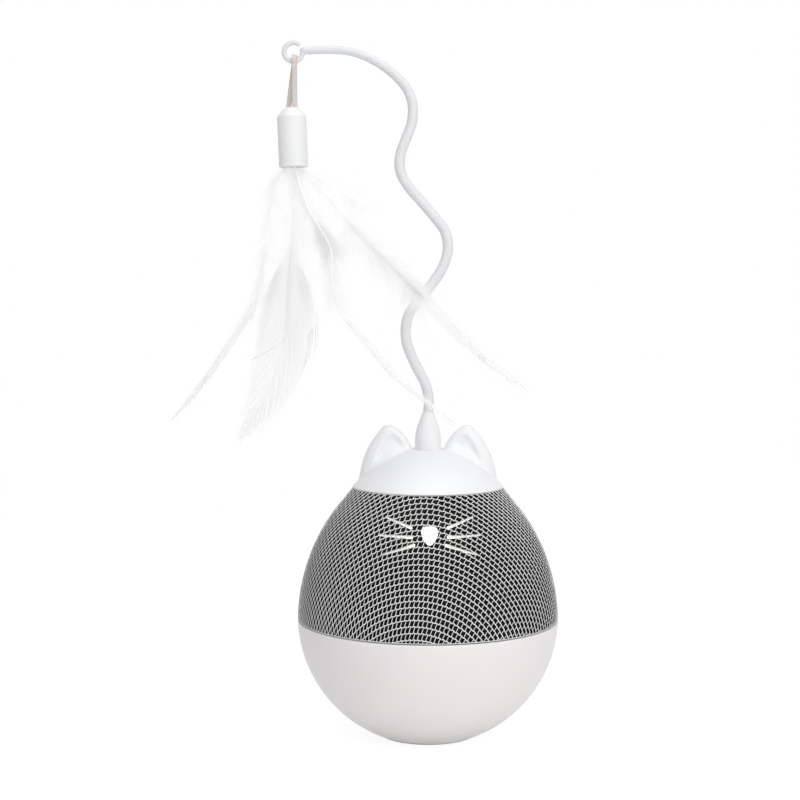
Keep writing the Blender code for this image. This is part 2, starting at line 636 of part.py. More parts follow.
def bowl_floor_z(radius):
    """Height of the inside of the bowl at a radius."""
    share = radius / (BODY_RADIUS - BASE_WALL)
    return WIDEST_Z - (BOWL_DEPTH - BASE_WALL) * math.sqrt(1 - share ** 2)


ballast_rim_z = bowl_floor_z(BALLAST_OUTER_RADIUS) + SEAT_GAP
ballast_top_z = ballast_rim_z + BALLAST_HEIGHT
ballast_ring = turned("ballast_ring", (
    (BALLAST_INNER_RADIUS, bowl_floor_z(BALLAST_INNER_RADIUS) + SEAT_GAP), (BALLAST_OUTER_RADIUS, ballast_rim_z),
    (BALLAST_OUTER_RADIUS, ballast_top_z), (BALLAST_INNER_RADIUS, ballast_top_z)), "steel", BODY_SIDES)

# Battery door with its pad, screw and contact springs
pad_pocket = rod("pad_pocket", PAD_RADIUS + SEAT_GAP, BASE_BOTTOM_Z - OVERRUN, PAD_HEIGHT + SEAT_GAP, "shell_white",
                 TURN_SIDES)
battery_door = rod("battery_door", DOOR_RADIUS, BASE_BOTTOM_Z, FLOOR_TOP_Z, "shell_white", BODY_SIDES)
cut(battery_door, pad_pocket)
door_pad = rod("door_pad", PAD_RADIUS, 0, PAD_HEIGHT, "grey_rubber", TURN_SIDES)

cell_angles = [QUARTER_TURN + 2 * math.pi * index / CELL_COUNT for index in range(CELL_COUNT)]
screw_angle = cell_angles[0] + math.pi / CELL_COUNT
screw_circle = DOOR_RADIUS - DOOR_SCREW_INSET
screw_at = (screw_circle * math.cos(screw_angle), screw_circle * math.sin(screw_angle))
screw_head_z = BASE_BOTTOM_Z + SEAT_GAP
head_top_z = screw_head_z + SCREW_HEAD_HEIGHT
counterbore = rod("counterbore", SCREW_HEAD_RADIUS + SEAT_GAP, BASE_BOTTOM_Z - OVERRUN, head_top_z + SEAT_GAP,
                  "shell_white", SMALL_SIDES, screw_at)
door_hole = rod("door_hole", SCREW_SHANK_RADIUS + SEAT_GAP, BASE_BOTTOM_Z, FLOOR_TOP_Z + OVERRUN, "shell_white",
                SMALL_SIDES, screw_at)
cut(battery_door, counterbore, door_hole)
door_screw = turned("door_screw", (
    (0, screw_head_z), (SCREW_HEAD_RADIUS, screw_head_z), (SCREW_HEAD_RADIUS, head_top_z),
    (SCREW_SHANK_RADIUS, head_top_z), (SCREW_SHANK_RADIUS, DOOR_SCREW_LENGTH), (0, DOOR_SCREW_LENGTH)),
    "steel", SMALL_SIDES, (*screw_at, 0))

# Battery holder with its bays, and the cells
holder = turned("battery_holder", (
    (0, HOLDER_FOOT_Z), (HOLDER_FOOT_RADIUS, HOLDER_FOOT_Z),
    (HOLDER_FOOT_RADIUS, HOLDER_FOOT_Z + HOLDER_FLANGE_HEIGHT),
    (HOLDER_RADIUS, HOLDER_FOOT_Z + HOLDER_FLANGE_HEIGHT), (HOLDER_RADIUS, BAY_TOP_Z),
    (HOLDER_FLANGE_RADIUS, BAY_TOP_Z), (HOLDER_FLANGE_RADIUS, HOLDER_TOP_Z), (0, HOLDER_TOP_Z)),
    "black_plastic")
SPRING_POINTS_PER_TURN = 8


def spring_path(centre):
    """A cone of turns from the door up to the cell."""
    steps = SPRING_TURNS * SPRING_POINTS_PER_TURN
    path = []
    for step in range(steps + 1):
        share = step / steps
        angle = 2 * math.pi * SPRING_TURNS * share
        radius = SPRING_FOOT_RADIUS + (SPRING_TOP_RADIUS - SPRING_FOOT_RADIUS) * share
        rise = (SPRING_HEIGHT - 2 * SPRING_WIRE_RADIUS) * share
        path.append(Vector((centre[0] + radius * math.cos(angle), centre[1] + radius * math.sin(angle),
                            SPRING_FOOT_Z + SPRING_WIRE_RADIUS + rise)))
    return path


springs = []
for number, angle in enumerate(cell_angles, start=1):
    at = (CELL_CIRCLE_RADIUS * math.cos(angle), CELL_CIRCLE_RADIUS * math.sin(angle), 0)
    bay = rod(f"bay_cut_{number}", CELL_RADIUS + SEAT_GAP, HOLDER_FOOT_Z - OVERRUN, BAY_TOP_Z, "black_plastic",
              TURN_SIDES, at)
    cut(holder, bay)
    shoulder = CELL_TOP_Z - CELL_BUTTON_HEIGHT
    outline = [(0, CELL_FOOT_Z), (CELL_RADIUS, CELL_FOOT_Z), (CELL_RADIUS, shoulder),
               (CELL_BUTTON_RADIUS, shoulder), (CELL_BUTTON_RADIUS, CELL_TOP_Z), (0, CELL_TOP_Z)]
    if number == 2:
        outline = [(radius, CELL_FOOT_Z + CELL_TOP_Z - height) for radius, height in outline]
    turned(f"battery_cell_{number}", outline, "cell_sleeve", TURN_SIDES, at)
    contact_z = CELL_TOP_Z + SEAT_GAP
    rod(f"contact_plate_{number}", CONTACT_RADIUS, contact_z, contact_z + CONTACT_THICKNESS, "steel", SMALL_SIDES, at)
    path = spring_path(at)
    springs.append(wire(f"contact_spring_{number}", path, [SPRING_WIRE_RADIUS] * len(path), "steel", 1))
screw_bore = rod("screw_bore", SCREW_SHANK_RADIUS + SEAT_GAP, HOLDER_FOOT_Z - OVERRUN,
                 DOOR_SCREW_LENGTH + SEAT_GAP, "black_plastic", SMALL_SIDES, screw_at)
cut(holder, screw_bore)

# Net sleeve over the inner shell, turned in at its hem
DOME_STEPS = 7
NET_FOOT_Z = SEAM_Z + SEAT_GAP
NET_TOP_Z = CAP_EDGE_Z - SEAT_GAP
HEM_TOP_Z = NET_FOOT_Z + NET_THICKNESS
SHELL_FOOT_Z = HEM_TOP_Z + SEAT_GAP
hem_radius = BODY_RADIUS - HEM_WIDTH
net_outline = [(hem_radius, NET_FOOT_Z)] + dome_points(NET_FOOT_Z, NET_TOP_Z, 0, DOME_STEPS)
net_outline += dome_points(NET_TOP_Z, HEM_TOP_Z, NET_THICKNESS, DOME_STEPS) + [(hem_radius, HEM_TOP_Z)]
net_sleeve = turned("net_sleeve", net_outline, "net_thread", BODY_SIDES)

skirt_radius = hem_radius - SEAT_GAP
skirt_inner_radius = skirt_radius - INNER_WALL
shell_outline = [(skirt_radius, SEAM_Z - SKIRT_DEPTH), (skirt_radius, SHELL_FOOT_Z)]
shell_outline += dome_points(SHELL_FOOT_Z, NET_TOP_Z, SHELL_GAP, DOME_STEPS)
shell_outline += dome_points(NET_TOP_Z, SHELL_FOOT_Z + INNER_WALL, SHELL_GAP + INNER_WALL, DOME_STEPS)
shell_outline += [(skirt_inner_radius, SHELL_FOOT_Z), (skirt_inner_radius, SEAM_Z - SKIRT_DEPTH)]
inner_shell = turned("inner_shell", shell_outline, "black_plastic", BODY_SIDES)

# Cap: a dome with a skirt inside the shell's mouth, and two ears on it
CAP_STEPS = 4
cap_skirt_radius = dome_radius(NET_TOP_Z) - SHELL_GAP - INNER_WALL - SEAT_GAP
cap_base_z = CAP_EDGE_Z + CAP_EDGE_HEIGHT
cap_radius = dome_radius(CAP_EDGE_Z) + CAP_OVERHANG
ear_foot_z = CAP_EDGE_Z + EAR_LIFT
ear_reach = cap_radius - EAR_INSET


def cap_height(radius):
    """Height of the outside of the cap at a radius."""
    return cap_base_z + CAP_RISE * (1 - (radius / cap_radius) ** 2)


cap_outline = [(cap_skirt_radius - CAP_WALL, CAP_EDGE_Z - CAP_SKIRT_DEPTH),
               (cap_skirt_radius, CAP_EDGE_Z - CAP_SKIRT_DEPTH), (cap_skirt_radius, CAP_EDGE_Z),
               (cap_radius, CAP_EDGE_Z)]
for step in range(CAP_STEPS + 1):
    radius = cap_radius + (CAP_HOLE_RADIUS - cap_radius) * step / CAP_STEPS
    cap_outline.append((radius, cap_height(radius)))
for step in range(CAP_STEPS + 1):
    radius = CAP_HOLE_RADIUS + (cap_skirt_radius - CAP_WALL - CAP_HOLE_RADIUS) * step / CAP_STEPS
    cap_outline.append((radius, cap_height(radius) - CAP_WALL))
ear_cap = turned("ear_cap", cap_outline, "cap_white", BODY_SIDES)


def ear_section(side, level, inner_edge, outer_edge, middle_y, half_depth):
    """A level oval section of an ear, or of its hollow."""
    middle_x = side * ear_reach * (inner_edge + outer_edge) / 2
    half_width = ear_reach * (outer_edge - inner_edge) / 2
    section = []
    for index in range(EAR_SIDES):
        angle = 2 * math.pi * index / EAR_SIDES
        section.append((middle_x + half_width * math.cos(angle), middle_y + half_depth * math.sin(angle),
                        ear_foot_z + EAR_HEIGHT * level))
    return section


for side, side_name in ((-1, "left"), (1, "right")):
    ear_maker = bmesh.new()
    loft(ear_maker, [ear_section(side, level, inner_edge, outer_edge, 0, EAR_DEPTH * depth_share / 2)
                     for level, inner_edge, outer_edge, depth_share in EAR_SECTION_SHARES])
    fuse(ear_cap, finish_mesh(f"{side_name}_ear", ear_maker, "cap_white"))
    hollow_maker = bmesh.new()
    loft(hollow_maker, [ear_section(side, level, inner_edge, outer_edge, -EAR_DEPTH * depth_share / 2,
                                    EAR_HOLLOW_DEPTH * hollow_share)
                        for level, inner_edge, outer_edge, depth_share, hollow_share in EAR_HOLLOW_SHARES])
    cut(ear_cap, finish_mesh(f"{side_name}_ear_hollow", hollow_maker, "cap_white"))

# Light guide: a nose and six whiskers on a web behind the inner shell
SHELL_INNER_DEPTH = SHELL_GAP + INNER_WALL
GUIDE_FACE_DEPTH = SHELL_GAP + GUIDE_INSET
WEB_FRONT_DEPTH = SHELL_INNER_DEPTH + WEB_GAP
WEB_BACK_DEPTH = WEB_FRONT_DEPTH + WEB_THICKNESS
GUIDE_ROOT_DEPTH = WEB_FRONT_DEPTH + WEB_THICKNESS / 2


def face_point(x, z, depth):
    """Point on the front of the body, at a depth under its skin."""
    radius = dome_radius(z) - depth
    return (x, -math.sqrt(radius ** 2 - x ** 2), z)


def whisker_sections(root, tip, half_width, overrun, shallow, deep):
    """Sections of a whisker that follows the body's skin."""
    along = Vector((tip[0] - root[0], tip[1] - root[1]))
    along.normalize()
    across = Vector((-along.y, along.x)) * half_width
    sections = []
    for step in range(WHISKER_STEPS + 1):
        share = step / WHISKER_STEPS
        reach = overrun * (2 * share - 1)
        x = root[0] + (tip[0] - root[0]) * share + along.x * reach
        z = root[1] + (tip[1] - root[1]) * share + along.y * reach
        sections.append((face_point(x - across.x, z - across.y, shallow),
                         face_point(x + across.x, z + across.y, shallow),
                         face_point(x + across.x, z + across.y, deep),
                         face_point(x - across.x, z - across.y, deep)))
    return sections


def nose_sections(grow, shallow, deep):
    """Front and back outline of the nose."""
    return [[face_point(share_x * (NOSE_HALF_WIDTH + grow), FACE_Z + share_z * (NOSE_HALF_HEIGHT + grow), depth)
             for share_x, share_z in NOSE_SHARES] for depth in (shallow, deep)]


def face_shapes(prefix, grow, shallow, deep):
    """The nose and the whiskers, or the openings that they pass through."""
    maker = bmesh.new()
    loft(maker, nose_sections(grow, shallow, deep))
    shapes = [finish_mesh(f"{prefix}_nose", maker, "clear_guide")]
    for side in (-1, 1):
        for number, (root, tip) in enumerate(WHISKER_SHARES, start=1):
            ends = [(side * across * WHISKER_SPAN, FACE_Z + up * WHISKER_SPAN) for across, up in (root, tip)]
            maker = bmesh.new()
            loft(maker, whisker_sections(*ends, WHISKER_HALF_WIDTH + grow, grow, shallow, deep))
            shapes.append(finish_mesh(f"{prefix}_whisker_{side}_{number}", maker, "clear_guide"))
    return shapes


def web_patch():
    """A curved plate that follows the inside of the shell."""
    maker = bmesh.new()
    layers = []
    for depth in (WEB_FRONT_DEPTH, WEB_BACK_DEPTH):
        layer = []
        for row in range(WEB_ROWS + 1):
            z = FACE_Z + WEB_HALF_HEIGHT * (2 * row / WEB_ROWS - 1)
            layer.append([maker.verts.new(face_point(WEB_HALF_WIDTH * (2 * column / WEB_COLUMNS - 1), z, depth))
                          for column in range(WEB_COLUMNS + 1)])
        layers.append(layer)
    for layer in layers:
        for row in range(WEB_ROWS):
            for column in range(WEB_COLUMNS):
                maker.faces.new((layer[row][column], layer[row][column + 1],
                                 layer[row + 1][column + 1], layer[row + 1][column]))
    front, back = layers
    rims = [(front[0], back[0]), (front[-1], back[-1]),
            ([row[0] for row in front], [row[0] for row in back]),
            ([row[-1] for row in front], [row[-1] for row in back])]
    for front_edge, back_edge in rims:
        for index in range(len(front_edge) - 1):
            maker.faces.new((front_edge[index], front_edge[index + 1], back_edge[index + 1], back_edge[index]))
    return finish_mesh("face_light_guide", maker, "clear_guide")


light_guide = web_patch()
fuse(light_guide, *face_shapes("guide", 0, GUIDE_FACE_DEPTH, GUIDE_ROOT_DEPTH))
cut(inner_shell, *face_shapes("opening", SEAT_GAP, -OVERRUN, SHELL_INNER_DEPTH + OVERRUN))

# LED and control board behind the guide
led_front_y = face_point(0, FACE_Z, WEB_BACK_DEPTH)[1] + LED_SET_BACK
led_back_y = led_front_y + LED_HEIGHT
LED_DOME_STEPS = 4
led_outline = [(0, 0), (LED_COLLAR_RADIUS, 0), (LED_COLLAR_RADIUS, LED_COLLAR_HEIGHT),
               (LED_RADIUS, LED_COLLAR_HEIGHT)]
for step in range(LED_DOME_STEPS):
    angle = QUARTER_TURN * step / LED_DOME_STEPS
    led_outline.append((LED_RADIUS * math.cos(angle), LED_HEIGHT - LED_RADIUS + LED_RADIUS * math.sin(angle)))
led_outline.append((0, LED_HEIGHT))
face_led = turned("face_led", led_outline, "clear_guide", SMALL_SIDES, (0, led_back_y, FACE_Z))
face_led.rotation_euler = (QUARTER_TURN, 0, 0)
board_front_y = led_back_y + SEAT_GAP
board_back_y = board_front_y + BOARD_THICKNESS
control_board = block("control_board", (-BOARD_HALF_WIDTH, board_front_y, FACE_Z - BOARD_DROP),
                      (BOARD_HALF_WIDTH, board_back_y, FACE_Z + BOARD_RISE), "board_green")
chip_y = board_back_y + SEAT_GAP
chip_z = FACE_Z - CHIP_DROP
controller_chip = block("controller_chip", (CHIP_X - CHIP_SIZE[0] / 2, chip_y, chip_z - CHIP_SIZE[2] / 2),
                        (CHIP_X + CHIP_SIZE[0] / 2, chip_y + CHIP_SIZE[1], chip_z + CHIP_SIZE[2] / 2),
                        "black_plastic")


def around(circle_radius, angle):
    return (circle_radius * math.cos(angle), circle_radius * math.sin(angle), 0)


# Gearbox frame on three posts, and its cover on three legs
frame_radius = -board_back_y - SEAT_GAP
post_circle = frame_radius - POST_INSET
leg_circle = frame_radius - LEG_INSET
gearbox_frame = rod("gearbox_frame", frame_radius, FRAME_PLATE_Z, FRAME_TOP_Z, "black_plastic", BODY_SIDES)
for number, angle in enumerate(POST_ANGLES, start=1):
    fuse(gearbox_frame, rod(f"post_{number}", POST_RADIUS, HOLDER_TOP_Z + SEAT_GAP, FRAME_PLATE_Z + OVERRUN,
                            "black_plastic", SMALL_SIDES, around(post_circle, angle)))
cover_radius = leg_circle + LEG_RADIUS + COVER_RIM
gearbox_cover = tube("gearbox_cover", BUSH_RADIUS + SEAT_GAP, cover_radius, COVER_Z, COVER_TOP_Z, "black_plastic")
leg_foot_z = FRAME_TOP_Z + SEAT_GAP
screw_hole_radius = GEAR_SCREW_RADIUS + SEAT_GAP
for number, angle in enumerate(LEG_ANGLES, start=1):
    at = around(leg_circle, angle)
    fuse(gearbox_cover, rod(f"leg_{number}", LEG_RADIUS, leg_foot_z, COVER_Z + OVERRUN, "black_plastic",
                            SMALL_SIDES, at))
    hole = rod(f"leg_hole_{number}", screw_hole_radius, FRAME_PLATE_Z - OVERRUN, COVER_TOP_Z + OVERRUN,
               "black_plastic", SMALL_SIDES, at)
    cut(gearbox_cover, hole)
    cut(gearbox_frame, hole)
    head_z = COVER_TOP_Z + SEAT_GAP
    turned(f"gearbox_screw_{number}", (
        (0, FRAME_PLATE_Z), (GEAR_SCREW_RADIUS, FRAME_PLATE_Z), (GEAR_SCREW_RADIUS, head_z),
        (GEAR_SCREW_HEAD_RADIUS, head_z), (GEAR_SCREW_HEAD_RADIUS, head_z + GEAR_SCREW_HEAD_HEIGHT),
        (0, head_z + GEAR_SCREW_HEAD_HEIGHT)), "steel", SMALL_SIDES, at)

# Motor under the frame plate, with its shaft up through the plate
can_foot_z = MOTOR_FOOT_Z + MOTOR_END_HEIGHT + SEAT_GAP
can_top_z = FRAME_PLATE_Z - SEAT_GAP
can_shoulder_z = can_top_z - MOTOR_BOSS_HEIGHT
shaft_hole_radius = AXLE_RADIUS + RUN_GAP
motor_can = turned("motor_can", (
    (MOTOR_RADIUS - MOTOR_WALL, can_foot_z), (MOTOR_RADIUS, can_foot_z), (MOTOR_RADIUS, can_shoulder_z),
    (MOTOR_BOSS_RADIUS, can_shoulder_z), (MOTOR_BOSS_RADIUS, can_top_z), (shaft_hole_radius, can_top_z),
    (shaft_hole_radius, can_shoulder_z - MOTOR_WALL), (MOTOR_RADIUS - MOTOR_WALL, can_shoulder_z - MOTOR_WALL)),
    "steel", TURN_SIDES, MOTOR_AT)
motor_end_cap = rod("motor_end_cap", MOTOR_RADIUS, MOTOR_FOOT_Z, MOTOR_FOOT_Z + MOTOR_END_HEIGHT, "black_plastic",
                    TURN_SIDES, MOTOR_AT)
motor_shaft = rod("motor_shaft", AXLE_RADIUS, can_foot_z, FIRST_LAYER_Z + GEAR_FACE, "steel", SMALL_SIDES, MOTOR_AT)
cut(gearbox_frame, rod("motor_shaft_hole", shaft_hole_radius, FRAME_PLATE_Z - OVERRUN, FRAME_TOP_Z + OVERRUN,
                       "black_plastic", SMALL_SIDES, MOTOR_AT))


def gear(name, teeth, low_z, height, phase, at):
    """A spur gear with straight sided teeth, thin enough to run with backlash."""
    pitch_radius = MODULE * teeth / 2
    root_radius = pitch_radius - DEDENDUM_SHARE * MODULE
    tip_radius = pitch_radius + ADDENDUM_SHARE * MODULE
    pitch_angle = 2 * math.pi / teeth
    tooth_points = ((root_radius, -TOOTH_ROOT_SHARE), (tip_radius, -TOOTH_TIP_SHARE),
                    (tip_radius, TOOTH_TIP_SHARE), (root_radius, TOOTH_ROOT_SHARE))
    outline = []
    for tooth in range(teeth):
        for radius, share in tooth_points:
            angle = phase + (tooth + share) * pitch_angle
            outline.append((radius * math.cos(angle), radius * math.sin(angle)))
    maker = bmesh.new()
    loft(maker, [[(x, y, z) for x, y in outline] for z in (low_z, low_z + height)])
    return finish_mesh(name, maker, "gear_plastic", (at[0], at[1], 0))


def tooth_towards(direction):
    """Phase with a tooth on the line of centres."""
    return direction


def gap_towards(direction, teeth):
    """Phase with a gap on the line of centres."""
    return direction + math.pi / teeth


def bored(gear_piece, bore_radius, at):
    """Bore a gear for its axle."""
    return cut(gear_piece, rod(f"{gear_piece.name}_bore", bore_radius, FRAME_TOP_Z, COVER_Z, "gear_plastic",
                               SMALL_SIDES, at))


# Output gear, second gear, first gear and motor pinion, in three layers
output_gear = gear("output_gear", OUTPUT_TEETH, THIRD_LAYER_Z, GEAR_FACE, tooth_towards(TRAIN_DIRECTIONS[0]),
                   (0, 0))
bored(output_gear, SHAFT_RADIUS + SEAT_GAP, (0, 0))
second_gear = gear("second_gear", WHEEL_TEETH, SECOND_LAYER_Z, GEAR_FACE, tooth_towards(TRAIN_DIRECTIONS[1]),
                   SECOND_AT)
fuse(second_gear, gear("second_pinion", PINION_TEETH, SECOND_LAYER_Z + GEAR_FACE / 2, LAYER_STEP + GEAR_FACE / 2,
                       gap_towards(TRAIN_DIRECTIONS[0] + math.pi, PINION_TEETH), SECOND_AT))
bored(second_gear, shaft_hole_radius, SECOND_AT)
first_gear = gear("first_gear", WHEEL_TEETH, FIRST_LAYER_Z, GEAR_FACE, tooth_towards(TRAIN_DIRECTIONS[2]),
                  FIRST_AT)
fuse(first_gear, gear("first_pinion", PINION_TEETH, FIRST_LAYER_Z + GEAR_FACE / 2, LAYER_STEP + GEAR_FACE / 2,
                      gap_towards(TRAIN_DIRECTIONS[1] + math.pi, PINION_TEETH), FIRST_AT))
bored(first_gear, shaft_hole_radius, FIRST_AT)
motor_pinion = gear("motor_pinion", PINION_TEETH, FIRST_LAYER_Z, GEAR_FACE,
                    gap_towards(TRAIN_DIRECTIONS[2] + math.pi, PINION_TEETH), MOTOR_AT)
bored(motor_pinion, shaft_hole_radius, MOTOR_AT)

axle_overlap = PLATE_THICKNESS / 2
for axle_name, at in (("first_axle", FIRST_AT), ("second_axle", SECOND_AT)):
    rod(axle_name, AXLE_RADIUS, FRAME_TOP_Z - axle_overlap, COVER_Z + axle_overlap, "steel", SMALL_SIDES, at)
    axle_hole = rod(f"{axle_name}_hole", AXLE_RADIUS + SEAT_GAP, FRAME_TOP_Z - axle_overlap - SEAT_GAP,
                    COVER_Z + axle_overlap + SEAT_GAP, "black_plastic", SMALL_SIDES, at)
    cut(gearbox_frame, axle_hole)
    cut(gearbox_cover, axle_hole)

# Output shaft, its bush in the cover and the clip above it
shaft_bore_radius = SHAFT_RADIUS + RUN_GAP
bush_foot_z = COVER_Z + SEAT_GAP
flange_z = COVER_TOP_Z + SEAT_GAP
output_bush = turned("output_bush", (
    (shaft_bore_radius, bush_foot_z), (BUSH_RADIUS, bush_foot_z), (BUSH_RADIUS, flange_z),
    (BUSH_FLANGE_RADIUS, flange_z), (BUSH_FLANGE_RADIUS, flange_z + BUSH_FLANGE_HEIGHT),
    (BUSH_RADIUS, flange_z + BUSH_FLANGE_HEIGHT), (BUSH_RADIUS, bush_foot_z + BUSH_HEIGHT),
    (shaft_bore_radius, bush_foot_z + BUSH_HEIGHT)), "brass")
shaft_top_z = BOOT_FOOT_Z + BOOT_SOCKET_DEPTH - SEAT_GAP
output_shaft = rod("output_shaft", SHAFT_RADIUS, FRAME_TOP_Z + SEAT_GAP, shaft_top_z, "steel", TURN_SIDES)
clip_z = bush_foot_z + BUSH_HEIGHT + SEAT_GAP
shaft_clip = tube("shaft_clip", shaft_bore_radius, BUSH_RADIUS, clip_z, clip_z + CLIP_HEIGHT, "steel")

# Wand boot with a socket for the shaft below and for the rod above
boot_bore_radius = SHAFT_RADIUS + SEAT_GAP
rod_bore_radius = ROD_RADIUS + SEAT_GAP
boot_outline = [(boot_bore_radius, BOOT_FOOT_Z)]
boot_outline += [(BOOT_RADIUS * across, BOOT_FOOT_Z + BOOT_HEIGHT * up) for across, up in BOOT_SHARES]
boot_outline += [(rod_bore_radius, BOOT_TOP_Z), (rod_bore_radius, ROD_FOOT_Z - SEAT_GAP),
                 (0, ROD_FOOT_Z - SEAT_GAP), (0, BOOT_FOOT_Z + BOOT_SOCKET_DEPTH),
                 (boot_bore_radius, BOOT_FOOT_Z + BOOT_SOCKET_DEPTH)]
wand_boot = turned("wand_boot", boot_outline, "wand_white")

# Wand rod: one wire from the boot to the open ring
route = [Vector((WAND_REACH * across, 0, ROD_FOOT_Z + WAND_HEIGHT * up)) for across, up in WAND_ROUTE_SHARES]
ring_points = []
for step in range(RING_STEPS + 1):
    angle = RING_START + (RING_END - RING_START) * step / RING_STEPS
    ring_points.append(RING_CENTRE + RING_RADIUS * Vector((math.cos(angle), 0, math.sin(angle))))
rod_path = smooth_path(route + ring_points[:1], ROD_STEPS)
rod_count = len(rod_path)
rod_radii = []
for index in range(rod_count):
    share = index / (rod_count - 1)
    radius = ROD_RADIUS + (ROD_END_RADIUS - ROD_RADIUS) * share
    near_ring = max(share - 1 + RING_TAPER_SHARE, 0) / RING_TAPER_SHARE
    rod_radii.append(radius + (RING_WIRE_RADIUS - radius) * near_ring)
rod_path += ring_points[1:]
rod_radii += [RING_WIRE_RADIUS] * RING_STEPS
wand_rod = wire("wand_rod", rod_path, rod_radii, "wand_white", 2)

# Cord loop: up the back, over the ring's lowest wire and down the front
arc_radius = RING_WIRE_RADIUS + SEAT_GAP + CORD_RADIUS
cord_foot_z = FERRULE_TOP_Z + SEAT_GAP
back_foot = Vector((LURE_PIVOT.x + CORD_SPREAD_BACK, CORD_DEPTH, cord_foot_z))
front_foot = Vector((LURE_PIVOT.x + CORD_SPREAD_FRONT, -CORD_DEPTH, cord_foot_z))
arc = []
for step in range(CORD_ARC_STEPS + 1):
    angle = math.pi * step / CORD_ARC_STEPS
    arc.append(LOOP_PIVOT + arc_radius * Vector((0, math.cos(angle), math.sin(angle))))
cord_path = [back_foot.lerp(arc[0], step / CORD_LEG_STEPS) for step in range(CORD_LEG_STEPS)]
cord_path += arc
cord_path += [arc[-1].lerp(front_foot, (step + 1) / CORD_LEG_STEPS) for step in range(CORD_LEG_STEPS)]
cord_loop = wire("cord_loop", cord_path, [CORD_RADIUS] * len(cord_path), "cord_beige", 2)
hang_from("loop_pivot", LOOP_PIVOT, [cord_loop])

# Ferrule: its round top is centred on the pivot of the lure
NECK_STEPS = 4
neck_outline = []
for step in range(NECK_STEPS + 1):
    angle = QUARTER_TURN * (1 - step / NECK_STEPS)
    neck_outline.append((FERRULE_NECK_RADIUS * math.cos(angle), FERRULE_NECK_RADIUS * math.sin(angle)))
neck_outline[0] = (0, FERRULE_NECK_RADIUS)
ferrule_outline = neck_outline + [
    (FERRULE_RADIUS, FERRULE_NECK_RADIUS - FERRULE_SHOULDER_DROP),
    (FERRULE_RADIUS, FERRULE_NECK_RADIUS - FERRULE_LENGTH), (0, FERRULE_NECK_RADIUS - FERRULE_LENGTH)]
ferrule = turned("lure_ferrule", ferrule_outline[::-1], "ferrule_white", TURN_SIDES, LURE_PIVOT)
ferrule.rotation_euler = (0, -FERRULE_TILT, 0)
ferrule_axis = Matrix.Rotation(-FERRULE_TILT, 3, "Y") @ Vector((0, 0, -1))
lure_foot = LURE_PIVOT + ferrule_axis * (FERRULE_LENGTH - FERRULE_NECK_RADIUS)


def feather(name, size):
    """A thin leaf along its spine, thickest at the quill."""
    spine = []
    travelled = 0
    last = Vector((0, 0, 0))
    for across, down in size["spine_shares"]:
        place = Vector((LURE_DROP * across, 0, LURE_DROP * down))
        travelled += (place - last).length
        last = place
        spine.append(lure_foot + place + Vector((0, size["depth"] + size["lean_share"] * travelled, 0)))
    maker = bmesh.new()
    sections = []
    for index, centre in enumerate(spine):
        ahead = spine[min(index + 1, len(spine) - 1)] - spine[max(index - 1, 0)]
        side = Vector((-ahead.z, 0, ahead.x)).normalized() * size["half_width"] * size["width_shares"][index]
        thick = ahead.cross(side).normalized() * BLADE_THICKNESS / 2
        sections.append((centre - side, centre - thick, centre + side, centre + thick))
    loft(maker, sections)
    return finish_mesh(name, maker, "feather_white")


feathers = [feather(name, size) for name, size in FEATHERS.items()]
hang_from("lure_pivot", LURE_PIVOT, [ferrule] + feathers)

# Leads between the battery holder, switch, motor and board
for lead_name, lead_route in LEAD_ROUTES.items():
    lead_path = smooth_path(lead_route, LEAD_STEPS)
    colour = "lead_red" if lead_name.endswith("red") else "black_plastic"
    wire(lead_name, lead_path, [LEAD_RADIUS] * len(lead_path), colour, 2)
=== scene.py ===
# %% [markdown]
# # Rotating feather cat toy
#
# A white bowl carries a dark egg under a knitted net, a white cap with two ears, and a wavy wand with a
# feather lure. The mechanical frame is loaded first and never changes. Everything below dresses it: finer
# skins for the moulded shells, real thread for the net, and feathers built barb by barb. All lengths are
# metres, and the face of the toy looks along -Y.

# %% The frame
import math
import random

import bmesh
import bpy
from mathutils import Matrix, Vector


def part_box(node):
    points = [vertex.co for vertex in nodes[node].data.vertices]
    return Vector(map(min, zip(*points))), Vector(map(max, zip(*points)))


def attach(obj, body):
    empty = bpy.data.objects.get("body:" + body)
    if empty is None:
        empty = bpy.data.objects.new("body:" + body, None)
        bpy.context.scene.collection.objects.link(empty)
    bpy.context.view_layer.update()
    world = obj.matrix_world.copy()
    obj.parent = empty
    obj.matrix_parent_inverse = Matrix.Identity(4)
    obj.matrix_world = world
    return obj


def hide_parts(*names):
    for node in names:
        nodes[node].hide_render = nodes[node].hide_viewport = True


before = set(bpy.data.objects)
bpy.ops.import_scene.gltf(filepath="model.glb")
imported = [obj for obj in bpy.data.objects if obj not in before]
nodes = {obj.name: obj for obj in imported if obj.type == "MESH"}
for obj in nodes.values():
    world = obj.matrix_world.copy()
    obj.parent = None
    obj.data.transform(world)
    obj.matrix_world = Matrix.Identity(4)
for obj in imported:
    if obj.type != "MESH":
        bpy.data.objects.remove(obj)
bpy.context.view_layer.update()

# %% [markdown]
# ## Camera
#
# The photograph was taken from in front and a little above the cap, with a long lens: the open ring at the
# top and the foot at the bottom are hardly stretched. One pixel is 0.42 mm on the toy's middle plane, which
# fixes the focal length once the distance is chosen.

# %% Camera
MM = 0.001
PHOTO_WIDTH = 800
SENSOR_WIDTH = 36.0
FOCAL_PIXELS = 1548
CAMERA_PLACE = (-0.01176, -0.650, 0.180)
CAMERA_PITCH = math.radians(3.4)

